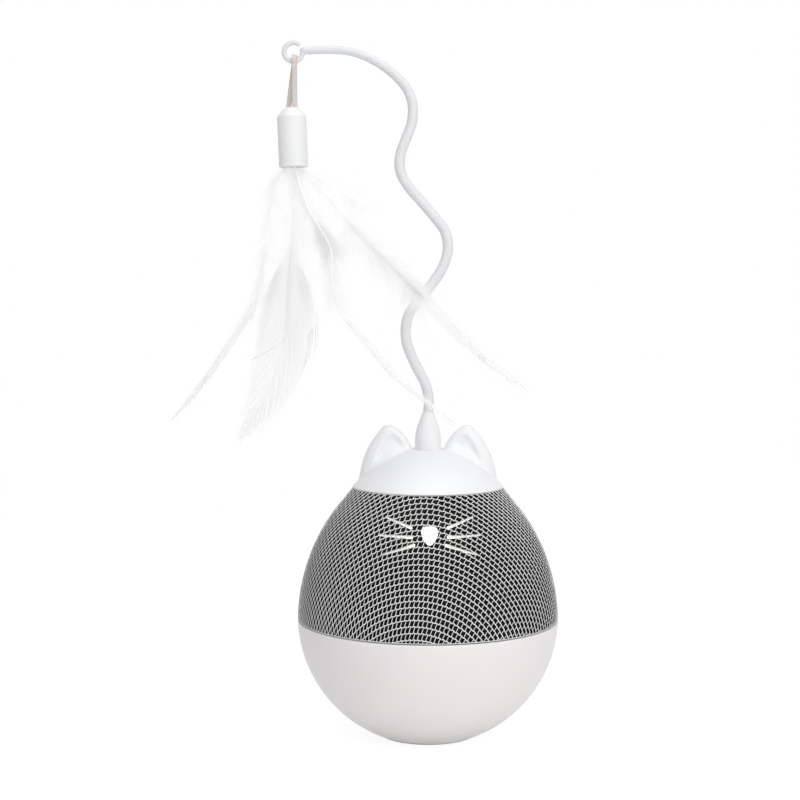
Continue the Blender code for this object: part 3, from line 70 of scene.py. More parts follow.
camera_data = bpy.data.cameras.new("camera")
camera_data.sensor_width = SENSOR_WIDTH
camera_data.lens = SENSOR_WIDTH * FOCAL_PIXELS / PHOTO_WIDTH
camera = bpy.data.objects.new("camera", camera_data)
camera.location = CAMERA_PLACE
camera.rotation_euler = (math.pi / 2 - CAMERA_PITCH, 0, 0)
bpy.context.collection.objects.link(camera)
bpy.context.scene.camera = camera
bpy.context.scene.view_settings.view_transform = "Standard"
print("lens", round(camera_data.lens, 2), "mm")

# %% [markdown]
# ## Writing materials as sums
#
# A material is a graph of nodes, and its arithmetic is easier to read as Python. A Wire holds one output
# socket. Adding or multiplying wires makes the Math nodes, and the reflected forms let a plain number stand
# on the left, as in 1 - mask. Everything that isn't arithmetic comes from one method, node().

# %% Wires
class Wire:
    """One output socket, used in expressions like a number."""

    def __init__(self, finish, socket):
        self.finish = finish
        self.socket = socket

    def math(self, operation, first, second):
        return self.finish.node("ShaderNodeMath", {"operation": operation}, {0: first, 1: second})

    def __add__(self, other):
        return self.math("ADD", self, other)

    def __radd__(self, other):
        return self.math("ADD", other, self)

    def __sub__(self, other):
        return self.math("SUBTRACT", self, other)

    def __rsub__(self, other):
        return self.math("SUBTRACT", other, self)

    def __mul__(self, other):
        return self.math("MULTIPLY", self, other)

    def __rmul__(self, other):
        return self.math("MULTIPLY", other, self)

    def highest(self, other):
        return self.math("MAXIMUM", self, other)


print("wires add, subtract and multiply")

# %% Finishes
class Finish:
    """A material under construction, or any other tree of shader nodes."""

    def __init__(self, name, tree=None):
        if tree is None:
            self.material = bpy.data.materials.new(name)
            self.material.use_nodes = True
            tree = self.material.node_tree
        self.tree = tree
        self.shader = tree.nodes.get("Principled BSDF")
        self.spot = None

    def plug(self, socket, value):
        if isinstance(value, Wire):
            self.tree.links.new(value.socket, socket)
        else:
            socket.default_value = value

    def node(self, kind, settings=None, inputs=None, output=0):
        """Make a node: its settings first, then the values or links of its sockets."""
        made = self.tree.nodes.new(kind)
        for key, value in (settings or {}).items():
            setattr(made, key, value)
        for key, value in (inputs or {}).items():
            self.plug(made.inputs[key], value)
        return Wire(self, made.outputs[output])

    def place(self):
        """The place on the piece, from one node that all the patterns of a finish share."""
        self.spot = self.spot or self.node("ShaderNodeTexCoord", output="Object")
        return self.spot

    def noise(self, size, detail=2.0, roughness=0.5, place=None):
        """Soft random variation whose blotches are about one size across."""
        return self.node("ShaderNodeTexNoise", inputs={
            "Vector": place or self.place(), "Scale": 1 / size, "Detail": detail, "Roughness": roughness})

    def mix(self, factor, first, second):
        return self.node("ShaderNodeMix", {"data_type": "RGBA"}, {0: factor, 6: first, 7: second}, output=2)

    def bump(self, height, depth):
        return self.node("ShaderNodeBump", inputs={"Strength": 1.0, "Distance": depth, "Height": height})

    def surface(self, **sockets):
        """Feed the Principled shader's sockets, named with underscores for spaces."""
        for key, value in sockets.items():
            self.plug(self.shader.inputs[key.replace("_", " ")], value)
        return self.material

    def blend(self, factor, first, second):
        return self.node("ShaderNodeMixShader", inputs={0: factor, 1: first, 2: second})

    def show(self, shader, output="Material Output"):
        self.plug(self.tree.nodes[output].inputs["Surface"], shader)


print("finishes ready")

# %% Colours
def paint(red, green, blue):
    """A screen colour, 0 to 255, as the linear colour that a shader wants."""
    def linear(level):
        share = level / 255
        return share / 12.92 if share <= 0.04045 else ((share + 0.055) / 1.055) ** 2.4
    return (linear(red), linear(green), linear(blue), 1)


print("white plastic is", [round(level, 3) for level in paint(236, 236, 237)])

# %% [markdown]
# ## Daylight without corners
#
# The toy was lit softly from all round, with more light from the right and from above, so the left flank
# falls off gently and nothing clips. The world gives the even part. Rays that reach the camera directly, or
# by a mirror or through glass, see plain white instead, which makes the background white without adding
# light to the object.

# %% World
SKY_LEVEL = 0.44
WHITE = (1, 1, 1, 1)


def seen_directly(finish):
    """1 for rays that show the background itself, in the camera, in gloss or through glass."""
    camera_ray, glossy_ray, glass_ray = [finish.node("ShaderNodeLightPath", output=f"Is {kind} Ray")
                                         for kind in ("Camera", "Glossy", "Transmission")]
    return camera_ray.highest(glossy_ray).highest(glass_ray)


world = bpy.data.worlds.new("studio")
bpy.context.scene.world = world
world.use_nodes = True
sky = Finish("studio", world.node_tree)
daylight, backdrop = [sky.node("ShaderNodeBackground", inputs={"Color": WHITE, "Strength": strength})
                      for strength in (SKY_LEVEL, 1.0)]
sky.show(sky.blend(seen_directly(sky), daylight, backdrop), "World Output")
print("sky level", SKY_LEVEL)

# %% [markdown]
# Three large soft boxes add the direction: one to the right gives the bowl its gradient, one above brightens
# the cap and the shoulders, and a low one in front fills the underside of the bowl.

# %% Soft boxes
def soft_box(name, place, aim, size, watts):
    """A square area lamp that looks at a point."""
    data = bpy.data.lights.new(name, "AREA")
    data.size = size
    data.energy = watts
    lamp = bpy.data.objects.new(name, data)
    lamp.location = place
    lamp.rotation_euler = (Vector(aim) - Vector(place)).to_track_quat("-Z", "Y").to_euler()
    bpy.context.collection.objects.link(lamp)
    return lamp


TOY_MIDDLE = (0, 0, 0.12)
soft_box("right_box", (0.75, -0.75, 0.55), TOY_MIDDLE, 0.7, 2.0)
soft_box("top_box", (0.00, -0.25, 1.10), TOY_MIDDLE, 0.8, 4.5)
soft_box("front_box", (0.20, -1.05, 0.10), TOY_MIDDLE, 0.6, 3.4)
print("three soft boxes")

# %% [markdown]
# ## Floor
#
# The floor is a wide pale disc. In the photograph it is so bright that only a faint shadow is left under the
# bowl, so the camera sees a paler floor than the toy does, with its shadow still on it. Far from the toy the
# floor fades into the white of the background, so that no edge shows from any side.

# %% Floor
FLOOR_RADIUS = 1.6
FLOOR_DROP = 0.0002
FLOOR_FADE_START = 0.25
FLOOR_FADE_LENGTH = 0.5
FLOOR_COLOUR = (0.90, 0.90, 0.90, 1)
SHADOW_KEEPER = (0.28, 0.28, 0.28, 1)
FLOOR_LIFT = 0.87

floor_maker = bmesh.new()
bmesh.ops.create_circle(floor_maker, cap_ends=True, segments=96, radius=FLOOR_RADIUS)
floor_mesh = bpy.data.meshes.new("floor")
floor_maker.to_mesh(floor_mesh)
floor = bpy.data.objects.new("floor", floor_mesh)
floor.location.z = -FLOOR_DROP
bpy.context.collection.objects.link(floor)

paper = Finish("pale_floor")
reach = paper.node("ShaderNodeVectorMath", {"operation": "LENGTH"}, {0: paper.place()}, output="Value")
fade = paper.node("ShaderNodeMapRange", {"interpolation_type": "SMOOTHSTEP"}, {
    "Value": reach, "From Min": FLOOR_FADE_START, "From Max": FLOOR_FADE_START + FLOOR_FADE_LENGTH})
matt, pale_matt = [paper.node("ShaderNodeBsdfDiffuse", inputs={"Color": colour})
                   for colour in (FLOOR_COLOUR, SHADOW_KEEPER)]
glow, lift = [paper.node("ShaderNodeEmission", inputs={"Color": WHITE, "Strength": strength})
              for strength in (1.0, FLOOR_LIFT)]
lifted = paper.node("ShaderNodeAddShader", inputs={0: pale_matt, 1: lift})
near_look = paper.blend(seen_directly(paper), matt, lifted)
paper.show(paper.blend(seen_directly(paper) * fade, near_look, glow))
floor.data.materials.append(paper.material)
print("floor", FLOOR_RADIUS, "m")

# %% [markdown]
# ## Moulded plastic
#
# All the white parts are the same kind of plastic: satin, not glossy, with the faintest orange peel where it
# cooled in the mould. The bump is only thousandths of a millimetre, and a slow change of roughness keeps the
# broad highlights from looking drawn. Handling shows as a very slight warm tone in broad patches.

# %% Plastic finishes
DRIFT_SIZE = 0.035
PEEL_SIZE = 0.0009
SCUFF_SIZE = 0.006
WARM_TINT = (0.985, 0.972, 0.955)
TONE_SPREAD = 0.4
TONE_START = 0.3
SCUFF_SPREAD = 0.12


def plastic(name, colour, roughness, shine=0.35, peel=0.000003):
    """Satin moulded plastic with orange peel and a slow drift in tone."""
    finish = Finish(name)
    drift = finish.noise(DRIFT_SIZE)
    peel_height = finish.noise(PEEL_SIZE, 3.0)
    scuff = finish.noise(SCUFF_SIZE, 4.0, 0.65)
    warmer = tuple(level * scale for level, scale in zip(colour, WARM_TINT)) + (1,)
    tone = finish.mix((drift - 0.5) * TONE_SPREAD + TONE_START, (*colour[:3], 1), warmer)
    return finish.surface(Base_Color=tone, Roughness=(scuff - 0.5) * SCUFF_SPREAD + roughness,
                          Specular_IOR_Level=shine, Normal=finish.bump(peel_height, peel))


shell_white = plastic("shell_white", paint(240, 238, 238), 0.42)
cap_white = plastic("cap_white", paint(243, 244, 246), 0.40)
wand_white = plastic("wand_white", paint(231, 232, 235), 0.55, shine=0.2, peel=0.0000005)
boot_white = plastic("boot_white", paint(241, 242, 244), 0.55, shine=0.2, peel=0.0000005)
ferrule_white = plastic("ferrule_white", paint(241, 243, 242), 0.38)
black_plastic = plastic("black_plastic", (0.012, 0.012, 0.013), 0.5)
shell_black = plastic("shell_black", (0.004, 0.004, 0.0045), 0.6, shine=0.1)
gear_plastic = plastic("gear_plastic", (0.80, 0.79, 0.74), 0.45)
print("plastics ready")

# %% [markdown]
# ## Metal, rubber, wire and board
#
# Most of these are inside and hardly seen, but they are finished like the rest: drawn steel has fine
# scratches along its length, rubber is dull and slightly blotched, and the circuit board is lacquered in two
# close greens.

# %% Other finishes
DRAWN_STRETCH = (1.0, 1.0, 0.06)
SCRATCH_SIZE = 0.0004
SCRATCH_DEPTH = 0.000006
TARNISH_SIZE = 0.008


def metal(name, colour, roughness):
    """Drawn metal with fine scratches along its length and a little tarnish."""
    finish = Finish(name)
    stretched = finish.node("ShaderNodeVectorMath", {"operation": "MULTIPLY"}, {
        0: finish.place(), 1: DRAWN_STRETCH})
    scratches = finish.noise(SCRATCH_SIZE, place=stretched)
    tarnish = finish.noise(TARNISH_SIZE, 3.0)
    tone = finish.mix(tarnish, (*colour, 1), (*[level * 0.8 for level in colour], 1))
    return finish.surface(Base_Color=tone, Metallic=1.0, Roughness=scratches * 0.2 + roughness,
                          Normal=finish.bump(scratches, SCRATCH_DEPTH))


def dull(name, dark, light, size, roughness, grain):
    """A matt finish between two tones, with a grain an eighth as wide as its blotches."""
    finish = Finish(name)
    blotch = finish.noise(size, 3.0)
    height = finish.noise(size / 8)
    return finish.surface(Base_Color=finish.mix(blotch, dark, light), Roughness=blotch * 0.1 + roughness,
                          Normal=finish.bump(height, grain))


steel = metal("steel", (0.60, 0.60, 0.61), 0.28)
brass = metal("brass", (0.72, 0.54, 0.26), 0.30)
grey_rubber = dull("grey_rubber", (0.58, 0.59, 0.60, 1), (0.66, 0.67, 0.68, 1), 0.004, 0.75, 0.00003)
lead_red = dull("lead_red", (0.50, 0.02, 0.02, 1), (0.60, 0.04, 0.03, 1), 0.003, 0.40, 0.00001)
board_green = dull("board_green", (0.02, 0.12, 0.06, 1), (0.04, 0.20, 0.10, 1), 0.002, 0.35, 0.00003)
cell_sleeve = dull("cell_sleeve", (0.10, 0.11, 0.13, 1), (0.16, 0.17, 0.19, 1), 0.006, 0.30, 0.00001)
print("metals and dull finishes ready")

# %% [markdown]
# ## Turning, sweeping and cutting
#
# Nearly every shell of the toy is a turned form, the wand is a swept one, and the switch pocket is a cut.
# Three short tools make them: a lathe, a sweep with rounded ends, and a Boolean that is applied at once.

# %% Pieces
SMOOTH_ANGLE = math.radians(40)


def smoothed(piece, angle=SMOOTH_ANGLE):
    """Shade a piece smooth except at real edges."""
    piece.data.shade_smooth()
    piece.data.set_sharp_from_angle(angle=angle)
    return piece


def mesh_piece(name, points, faces, finish, angle=SMOOTH_ANGLE):
    """An object from points and faces."""
    mesh = bpy.data.meshes.new(name)
    mesh.from_pydata([tuple(point) for point in points], [], faces)
    mesh.update()
    mesh.materials.append(finish)
    piece = bpy.data.objects.new(name, mesh)
    bpy.context.collection.objects.link(piece)
    return smoothed(piece, angle)


def solid(name, points, faces, finish):
    """A closed piece, with its faces turned outwards."""
    piece = mesh_piece(name, points, faces, finish)
    maker = bmesh.new()
    maker.from_mesh(piece.data)
    bmesh.ops.recalc_face_normals(maker, faces=maker.faces[:])
    maker.to_mesh(piece.data)
    maker.free()
    return piece


def dress(piece, body, node=None):
    """Let a piece ride on a body, and stand for a CAD node if one is named."""
    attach(piece, body)
    if node:
        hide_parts(node)


print("pieces are smooth up to", round(math.degrees(SMOOTH_ANGLE)), "degrees")

# %% Steps and rings
def shares(count):
    """0 to 1 in even steps."""
    return [step / count for step in range(count + 1)]


def evenly(first, last, count):
    """Numbers from first to last in even steps."""
    return [first + (last - first) * share for share in shares(count)]


def circle(sides):
    """Cosine and sine of the angle of each side."""
    angles = [2 * math.pi * side / sides for side in range(sides)]
    return [(math.cos(angle), math.sin(angle)) for angle in angles]


def tube_faces(rings, sides, start=0):
    """Faces of a closed tube whose points come ring by ring."""
    faces = []
    last = start + (rings - 1) * sides
    for low in range(start, last, sides):
        for side in range(sides):
            after = (side + 1) % sides
            faces.append((low + side, low + after, low + sides + after, low + sides + side))
    return faces + [tuple(range(start, start + sides))[::-1], tuple(range(last, last + sides))]


print("a tube of 3 rings and 4 sides has", len(tube_faces(3, 4)), "faces")

# %% Lathe
NEARLY_STRAIGHT = math.radians(160)
CORNER_REACH = 0.45


def bow(first, corner, last, share):
    """A point at a share of a short curve that bends towards a corner."""
    return first.lerp(corner, share).lerp(corner.lerp(last, share), share)


def rounded(outline, radius, steps=3, closed=True):
    """Replace each sharp corner of an outline with a short curve."""
    result = []
    count = len(outline)
    for index, (across, up) in enumerate(outline):
        corner = Vector((across, up))
        before = Vector(outline[index - 1]) - corner
        after = Vector(outline[(index + 1) % count]) - corner
        at_end = not closed and index in (0, count - 1)
        if at_end or across == 0 or before.length == 0 or before.angle(after) > NEARLY_STRAIGHT:
            result.append((across, up))
            continue
        reach = min(radius, before.length * CORNER_REACH, after.length * CORNER_REACH)
        first = corner + before.normalized() * reach
        last = corner + after.normalized() * reach
        result += [tuple(bow(first, corner, last, share)) for share in shares(steps)]
    return result


def lathe(name, outline, finish, sides=144):
    """Turn a closed outline of (radius, height) points about the upright axis."""
    points, rings = [], []
    for radius, height in outline:
        start = len(points)
        if radius == 0:
            rings.append([start] * sides)
            points.append((0, 0, height))
        else:
            rings.append(list(range(start, start + sides)))
            points += [(radius * x, radius * y, height) for x, y in circle(sides)]
    faces = []
    for lower, upper in zip(rings, rings[1:] + rings[:1]):
        if lower[0] == lower[1] and upper[0] == upper[1]:
            continue
        for side in range(sides):
            after = (side + 1) % sides
            faces.append(tuple(dict.fromkeys((lower[side], lower[after], upper[after], upper[side]))))
    return solid(name, points, faces, finish)


print("a rounded square has", len(rounded([(1, 0), (2, 0), (2, 1), (1, 1)], 0.1)), "points")

# %% Cutting and joining
def settle(piece):
    """Apply a piece's modifiers to its mesh."""
    graph = bpy.context.evaluated_depsgraph_get()
    mesh = bpy.data.meshes.new_from_object(piece.evaluated_get(graph))
    piece.modifiers.clear()
    piece.data = mesh


def carve(piece, guide, operation="DIFFERENCE"):
    """Cut a piece with a guide, or join the guide to it, and throw the guide away."""
    step = piece.modifiers.new("carve", "BOOLEAN")
    step.operation = operation
    step.object = guide
    settle(piece)
    bpy.data.objects.remove(guide, do_unlink=True)


print("cutting tools ready")

# %% Curves and sweeps
END_START = 0.15


def smooth_path(points, steps):
    """Points along a Catmull-Rom curve through the given points."""
    knots = [Vector(point) for point in points]
    knots = [2 * knots[0] - knots[1]] + knots + [2 * knots[-1] - knots[-2]]
    spans = len(knots) - 3
    path = []
    for step in range(steps + 1):
        place = min(step * spans / steps, spans)
        span = min(int(place), spans - 1)
        t = place - span
        before, start, end, after = knots[span:span + 4]
        path.append(0.5 * (2 * start + (end - before) * t + (2 * before - 5 * start + 4 * end - after) * t ** 2
                           + (3 * start - before - 3 * end + after) * t ** 3))
    return path


def tangents(path):
    last = len(path) - 1
    return [(path[min(index + 1, last)] - path[max(index - 1, 0)]).normalized() for index in range(last + 1)]


def sweep(path, radii, sides, round_ends=3):
    """Points and faces of a tube along a path, with rounded ends."""
    rings = list(zip(path, tangents(path), radii))
    end_angles = [math.pi / 2 * (step + END_START) / round_ends for step in range(round_ends)]

    def end(ring, sign):
        centre, way, radius = ring
        return [(centre + way * radius * math.cos(angle) * sign, way, radius * math.sin(angle))
                for angle in end_angles]

    rings = end(rings[0], -1) + rings + end(rings[-1], 1)[::-1]
    points = []
    across = Vector((0, 1, 0))
    for centre, way, radius in rings:
        thin = (across - way * across.dot(way)).normalized()
        wide = way.cross(thin)
        points += [centre + wide * radius * x + thin * radius * y for x, y in circle(sides)]
    return points, tube_faces(len(rings), sides)


print("sweep ready")

# %% [markdown]
# ## Body outline
#
# The lower body is a bowl and the upper body a taller egg. Both follow one formula each, the same as in the
# mechanical model, and their sizes are read from its boxes where they can be.

# %% Outline of the body
body_low, body_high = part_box("base_shell")
foot_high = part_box("foot_ring")[1]
door_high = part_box("battery_door")[1]
BODY_RADIUS = body_high.x
BASE_FOOT_Z = body_low.z
SEAM_Z = body_high.z
WIDEST_Z = 0.0500
DOME_HEIGHT = 0.0665
DOME_POWER = 1.85
FLARE_START_Z = 0.0985
FLARE_LENGTH = 0.0080
FLARE_WIDTH = 0.0014
BASE_WALL = 0.0022
FOOT_WIDTH = 0.0019
FLAT_MARGIN = 0.0009
FLAT_RADIUS = foot_high.x + FLAT_MARGIN
BOWL_DEPTH = (WIDEST_Z - BASE_FOOT_Z) / math.sqrt(1 - (FLAT_RADIUS / BODY_RADIUS) ** 2)


def ease(value):
    """0 to 1 in a soft S, flat at both ends."""
    value = min(max(value, 0), 1)
    return value * value * (3 - 2 * value)


def dome_radius(z):
    """Radius of the upper body, which flares a little where it meets the cap."""
    height = max((z - WIDEST_Z) / DOME_HEIGHT, 0)
    flare = FLARE_WIDTH * ease((z - FLARE_START_Z) / FLARE_LENGTH)
    return BODY_RADIUS * math.sqrt(max(1 - height ** DOME_POWER, 0)) + flare


def bowl_curve(z_from, z_to, inset, count):
    """Outline of the bowl between two heights, set in by a wall."""
    depth = BOWL_DEPTH - inset
    first = math.asin((WIDEST_Z - z_from) / depth)
    last = math.asin((WIDEST_Z - z_to) / depth)
    return [((BODY_RADIUS - inset) * math.cos(angle), WIDEST_Z - depth * math.sin(angle))
            for angle in evenly(first, last, count)]


print("bowl depth", round(BOWL_DEPTH / MM, 2), "mm, radius", round(BODY_RADIUS / MM, 2), "mm")

# %% [markdown]
# ## Base shell
#
# The bowl is turned with 192 sides, so its silhouette is truly round. At its rim, the plastic ends in a tiny
# radius that lets the net's hem disappear behind it. Round the back there is a pocket for the power switch:
# a pad inside the wall is joined on first, then the pocket and its slot are cut.

# %% Base shell
CLEARANCE = 0.0003
DOOR_GAP = 0.0004
EDGE_RADIUS = 0.0003
EDGE_BEVEL = EDGE_RADIUS * 0.3
FOOT_EDGE_RADIUS = 0.00015
BASE_SIDES = 192
door_hole = door_high.x + DOOR_GAP
floor_top = door_high.z
groove_top = foot_high.z + CLEARANCE
groove_inner = foot_high.x - FOOT_WIDTH - CLEARANCE
groove_outer = foot_high.x + CLEARANCE

foot_corners = [(door_hole, BASE_FOOT_Z), (groove_inner, BASE_FOOT_Z), (groove_inner, groove_top),
                (groove_outer, groove_top), (groove_outer, BASE_FOOT_Z)]
base_outline = rounded(foot_corners, FOOT_EDGE_RADIUS, closed=False)
base_outline += bowl_curve(BASE_FOOT_Z, SEAM_Z - EDGE_RADIUS, 0, 48)
base_outline += [(BODY_RADIUS - EDGE_BEVEL, SEAM_Z - EDGE_BEVEL), (BODY_RADIUS - EDGE_RADIUS, SEAM_Z)]
base_outline += bowl_curve(SEAM_Z, floor_top, BASE_WALL, 32) + [(door_hole, floor_top)]
base = lathe("base_skin", base_outline, shell_white, BASE_SIDES)
print("base outline has", len(base_outline), "points")

# %% Switch pocket
knob_low, knob_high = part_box("switch_knob")
POCKET_SIZE = (0.0070, 0.0045)
POCKET_CORNER = 0.0012
POCKET_WALL = 0.0022
POCKET_RIM = 0.0028
KNOB_CAP = 0.0016
SLOT_SIZE = (0.0035, 0.0015)
SLOT_CORNER = 0.0004
switch_z = (knob_low.z + knob_high.z) / 2
pocket_y = knob_high.y - KNOB_CAP - CLEARANCE


def rounded_slab(name, size, corner, y_from, y_to):
    """A plate of half a width and half a height, with round corners, that stands about the switch."""
    x, z = size
    ring = rounded(((-x, -z), (x, -z), (x, z), (-x, z)), corner, 6)
    points = [(x, y, switch_z + z) for y in (y_from, y_to) for x, z in ring]
    return solid(name, points, tube_faces(2, len(ring)), shell_white)


pad_size = [half + POCKET_RIM for half in POCKET_SIZE]
pad = rounded_slab("pad", pad_size, POCKET_CORNER, pocket_y - POCKET_WALL, BODY_RADIUS)
core_outline = [(0, floor_top)] + bowl_curve(floor_top, SEAM_Z, BASE_WALL / 2, 32) + [(0, SEAM_Z)]
carve(pad, lathe("core", core_outline, shell_white, BASE_SIDES), "INTERSECT")
carve(base, pad, "UNION")
carve(base, rounded_slab("pocket", POCKET_SIZE, POCKET_CORNER, pocket_y, BODY_RADIUS + MM))
carve(base, rounded_slab("slot", SLOT_SIZE, SLOT_CORNER, pocket_y - 2 * POCKET_WALL, BODY_RADIUS))
dress(smoothed(base), "base", "base_shell")
print("base skin has", len(base.data.polygons), "faces")

# %% [markdown]
# ## Black inner shell and the lit face
#
# Behind the net stands a plain black shell. Its front has seven openings: a nose shaped like a rounded
# triangle, and three whiskers on each side. A clear light guide fills them from behind and glows. The
# whiskers taper and fade away from the nose, so their glow is driven by the distance from it.

# %% Outline of the face
NET_THICKNESS = 0.0005
SHELL_GAP = 0.0008
INNER_WALL = 0.0018
FACE_Z = 0.0899
NOSE_HALF_WIDTH = 0.0033
NOSE_HALF_HEIGHT = 0.0034
NOSE_SIDE = ((0.58, 0.94), (0.92, 0.70), (1.00, 0.30), (0.86, -0.15), (0.60, -0.58), (0.32, -0.88))
NOSE_SHARES = ((0.00, 1.00), *NOSE_SIDE, (0.00, -1.00), *[(-x, z) for x, z in NOSE_SIDE[::-1]])
NOSE_SPAN_STEPS = 4
WHISKER_SPAN = 0.0202
WHISKER_HALF_WIDTH = 0.00048
WHISKER_TIP_SHARE = 0.55
WHISKER_SHARES = (
    ((0.360, 0.141), (0.860, 0.316)),
    ((0.360, -0.030), (1.000, -0.015)),
    ((0.310, -0.173), (0.911, -0.361)),
)


def nose_ring(grow):
    """The nose as a smooth closed outline across the front."""
    loop = NOSE_SHARES[-1:] + NOSE_SHARES + NOSE_SHARES[:2]
    knots = [((NOSE_HALF_WIDTH + grow) * x, (NOSE_HALF_HEIGHT + grow) * z, 0) for x, z in loop]
    path = smooth_path(knots, NOSE_SPAN_STEPS * (len(loop) - 1))
    return [(point.x, FACE_Z + point.y) for point in path[NOSE_SPAN_STEPS:-NOSE_SPAN_STEPS - 1]]


def between(first, last):
    return [first.lerp(last, share) for share in shares(6)[1:-1]]


def whisker_ring(side, root, tip, grow):
    """A whisker with round ends, a little slimmer at its tip."""
    start, end = [Vector((side * x * WHISKER_SPAN, FACE_Z + z * WHISKER_SPAN)) for x, z in (root, tip)]
    along = (end - start).normalized()
    across = Vector((-along.y, along.x))
    rings = []
    for centre, width, turn in ((start, 1.0, math.pi), (end, WHISKER_TIP_SHARE, 0)):
        radius = WHISKER_HALF_WIDTH * width + grow
        rings.append([centre + (along * math.cos(angle) + across * math.sin(angle)) * radius
                      for angle in evenly(turn - math.pi / 2, turn + math.pi / 2, 6)])
    foot, head = rings
    return [tuple(point) for point in foot + between(foot[-1], head[0]) + head + between(head[-1], foot[0])]


print("face outlines: 1 nose and", 2 * len(WHISKER_SHARES), "whiskers")

# %% Skin points on the front of the body
def front_point(x, z, depth):
    radius = dome_radius(z) - depth
    return Vector((x, -math.sqrt(max(radius ** 2 - x ** 2, 0)), z))


def plug_through(name, ring, shallow, deep, finish):
    """A prism through the front of the body, its ends following the skin."""
    count = len(ring)
    centre = (sum(x for x, _ in ring) / count, sum(z for _, z in ring) / count)
    points = [front_point(x, z, depth) for depth in (shallow, deep) for x, z in ring]
    points += [front_point(*centre, depth) for depth in (shallow, deep)]
    faces = []
    for index in range(count):
        after = (index + 1) % count
        faces += [(index, after, after + count, index + count), (2 * count, after, index),
                  (2 * count + 1, index + count, after + count)]
    return solid(name, points, faces, finish)


print("front skin at the nose", [round(value / MM, 1) for value in front_point(0, FACE_Z, 0)], "mm")

# %% Light guide finish
GLOW_START = 0.0033
GLOW_END = 0.0155
GLOW_LEAST = 0.16
MOTTLE_SIZE = 0.0008
guide = Finish("clear_guide")
from_nose = guide.node("ShaderNodeVectorMath", {"operation": "SUBTRACT"}, {
    0: guide.place(), 1: tuple(front_point(0, FACE_Z, SHELL_GAP))})
nose_reach = guide.node("ShaderNodeVectorMath", {"operation": "LENGTH"}, {0: from_nose}, output="Value")
glow_fade = guide.node("ShaderNodeMapRange", {"interpolation_type": "SMOOTHSTEP"}, {
    "Value": nose_reach, "From Min": GLOW_START, "From Max": GLOW_END, "To Min": 1.0, "To Max": GLOW_LEAST})
mottle = guide.noise(MOTTLE_SIZE)
lit = guide.mix(glow_fade * (mottle * 0.9 + 0.5), (0.02, 0.02, 0.02, 1), (1.0, 0.98, 0.92, 1))
clear_guide = guide.surface(Base_Color=guide.mix(mottle, (0.86, 0.85, 0.82, 1), (0.90, 0.89, 0.86, 1)),
                            Emission_Color=lit, Emission_Strength=0.80, Roughness=mottle * 0.1 + 0.2)
print("light guide glows")

# %% Inner shell
HEM_WIDTH = 0.0026
CAP_LIFT = 0.0013
GUIDE_REACH = SHELL_GAP + INNER_WALL + MM
net_low, net_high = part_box("net_sleeve")
shell_low, shell_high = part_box("inner_shell")
shell_foot_z = net_low.z + NET_THICKNESS + CLEARANCE
shell_top_z = shell_high.z + CAP_LIFT


def dome_curve(z_from, z_to, inset, count):
    return [(dome_radius(z) - inset, z) for z in evenly(z_from, z_to, count)]


skirt_radius = BODY_RADIUS - HEM_WIDTH - CLEARANCE
inner_outline = [(skirt_radius, shell_low.z), (skirt_radius, shell_foot_z)]
inner_outline += dome_curve(shell_foot_z, shell_top_z, SHELL_GAP, 40)
inner_outline += dome_curve(shell_top_z, shell_foot_z + INNER_WALL, SHELL_GAP + INNER_WALL, 40)
inner_outline += [(skirt_radius - INNER_WALL, shell_foot_z), (skirt_radius - INNER_WALL, shell_low.z)]
inner = lathe("inner_skin", inner_outline, shell_black, 160)


def face_rings(grow):
    """The nose and the six whiskers, grown by a clearance."""
    return [nose_ring(grow)] + [whisker_ring(side, root, tip, grow)
                                for side in (-1, 1) for root, tip in WHISKER_SHARES]


for ring in face_rings(CLEARANCE):
    carve(inner, plug_through("opening", ring, -MM, GUIDE_REACH + MM, shell_black))
dress(smoothed(inner), "base", "inner_shell")
print("inner skin has", len(inner.data.polygons), "faces")

# %% Glowing nose and whiskers
FACE_NAMES = ["lit_nose"] + [f"lit_whisker_{number}" for number in range(1, 7)]
GUIDE_SINK = 0.0001
for name, ring in zip(FACE_NAMES, face_rings(0)):
    piece = plug_through(name, ring, SHELL_GAP + GUIDE_SINK, GUIDE_REACH, clear_guide)
    dress(piece, "base")

# %% [markdown]
# ## Knitted net
#
# The net is white knitted thread stretched over the black shell. It was cut flat and pulled over the egg
# from the front, so its rows don't run level: each row climbs to the middle of the front and drops towards
# the sides, which gives the nested arches. The fabric is pulled wide under the cap and long at the foot, so
# the holes change from low and wide to tall. The back is the same sheet again, and the two meet in a seam at
# each side.
#
# A texture could show holes, but only thread has the right edge against the light, so every row is a real
# thread, and the stitches between the rows are short slanted threads. Two smooth functions number the rows
# and the columns of stitches at any place on the body: a row is a line where the first is a whole number, and
# a column is a line where the second is.

# %% Numbering rows and columns
NET_FOOT_Z = net_low.z + CLEARANCE
NET_TOP_Z = net_high.z + CAP_LIFT
DRAPE_TOP_Z = 0.1040
DRAPE_LENGTH = 0.0500
ROW_DRAPE = (34.9, 26.5, -3.55)
ROW_DROOP = (0.585, 0.185)
ROW_CREST = (-0.063, -0.048)
COLUMN_DRAPE = (13.4, 23.7, -4.5)
COLUMN_EVEN_SHARE = 0.09
COLUMN_MIDDLE = (0.033, -0.090)
COLUMN_TILT = 40.0


def row_number(angle, z):
    """Number of the row at an angle from the middle of the front and a height."""
    down = (DRAPE_TOP_Z - z) / DRAPE_LENGTH
    count = ROW_DRAPE[0] + ROW_DRAPE[1] * down + ROW_DRAPE[2] * down ** 2
    droop = ROW_DROOP[0] + ROW_DROOP[1] * down
    crest = ROW_CREST[0] + ROW_CREST[1] * down
    return count * math.exp(-droop * (1 - math.cos(angle - crest)))


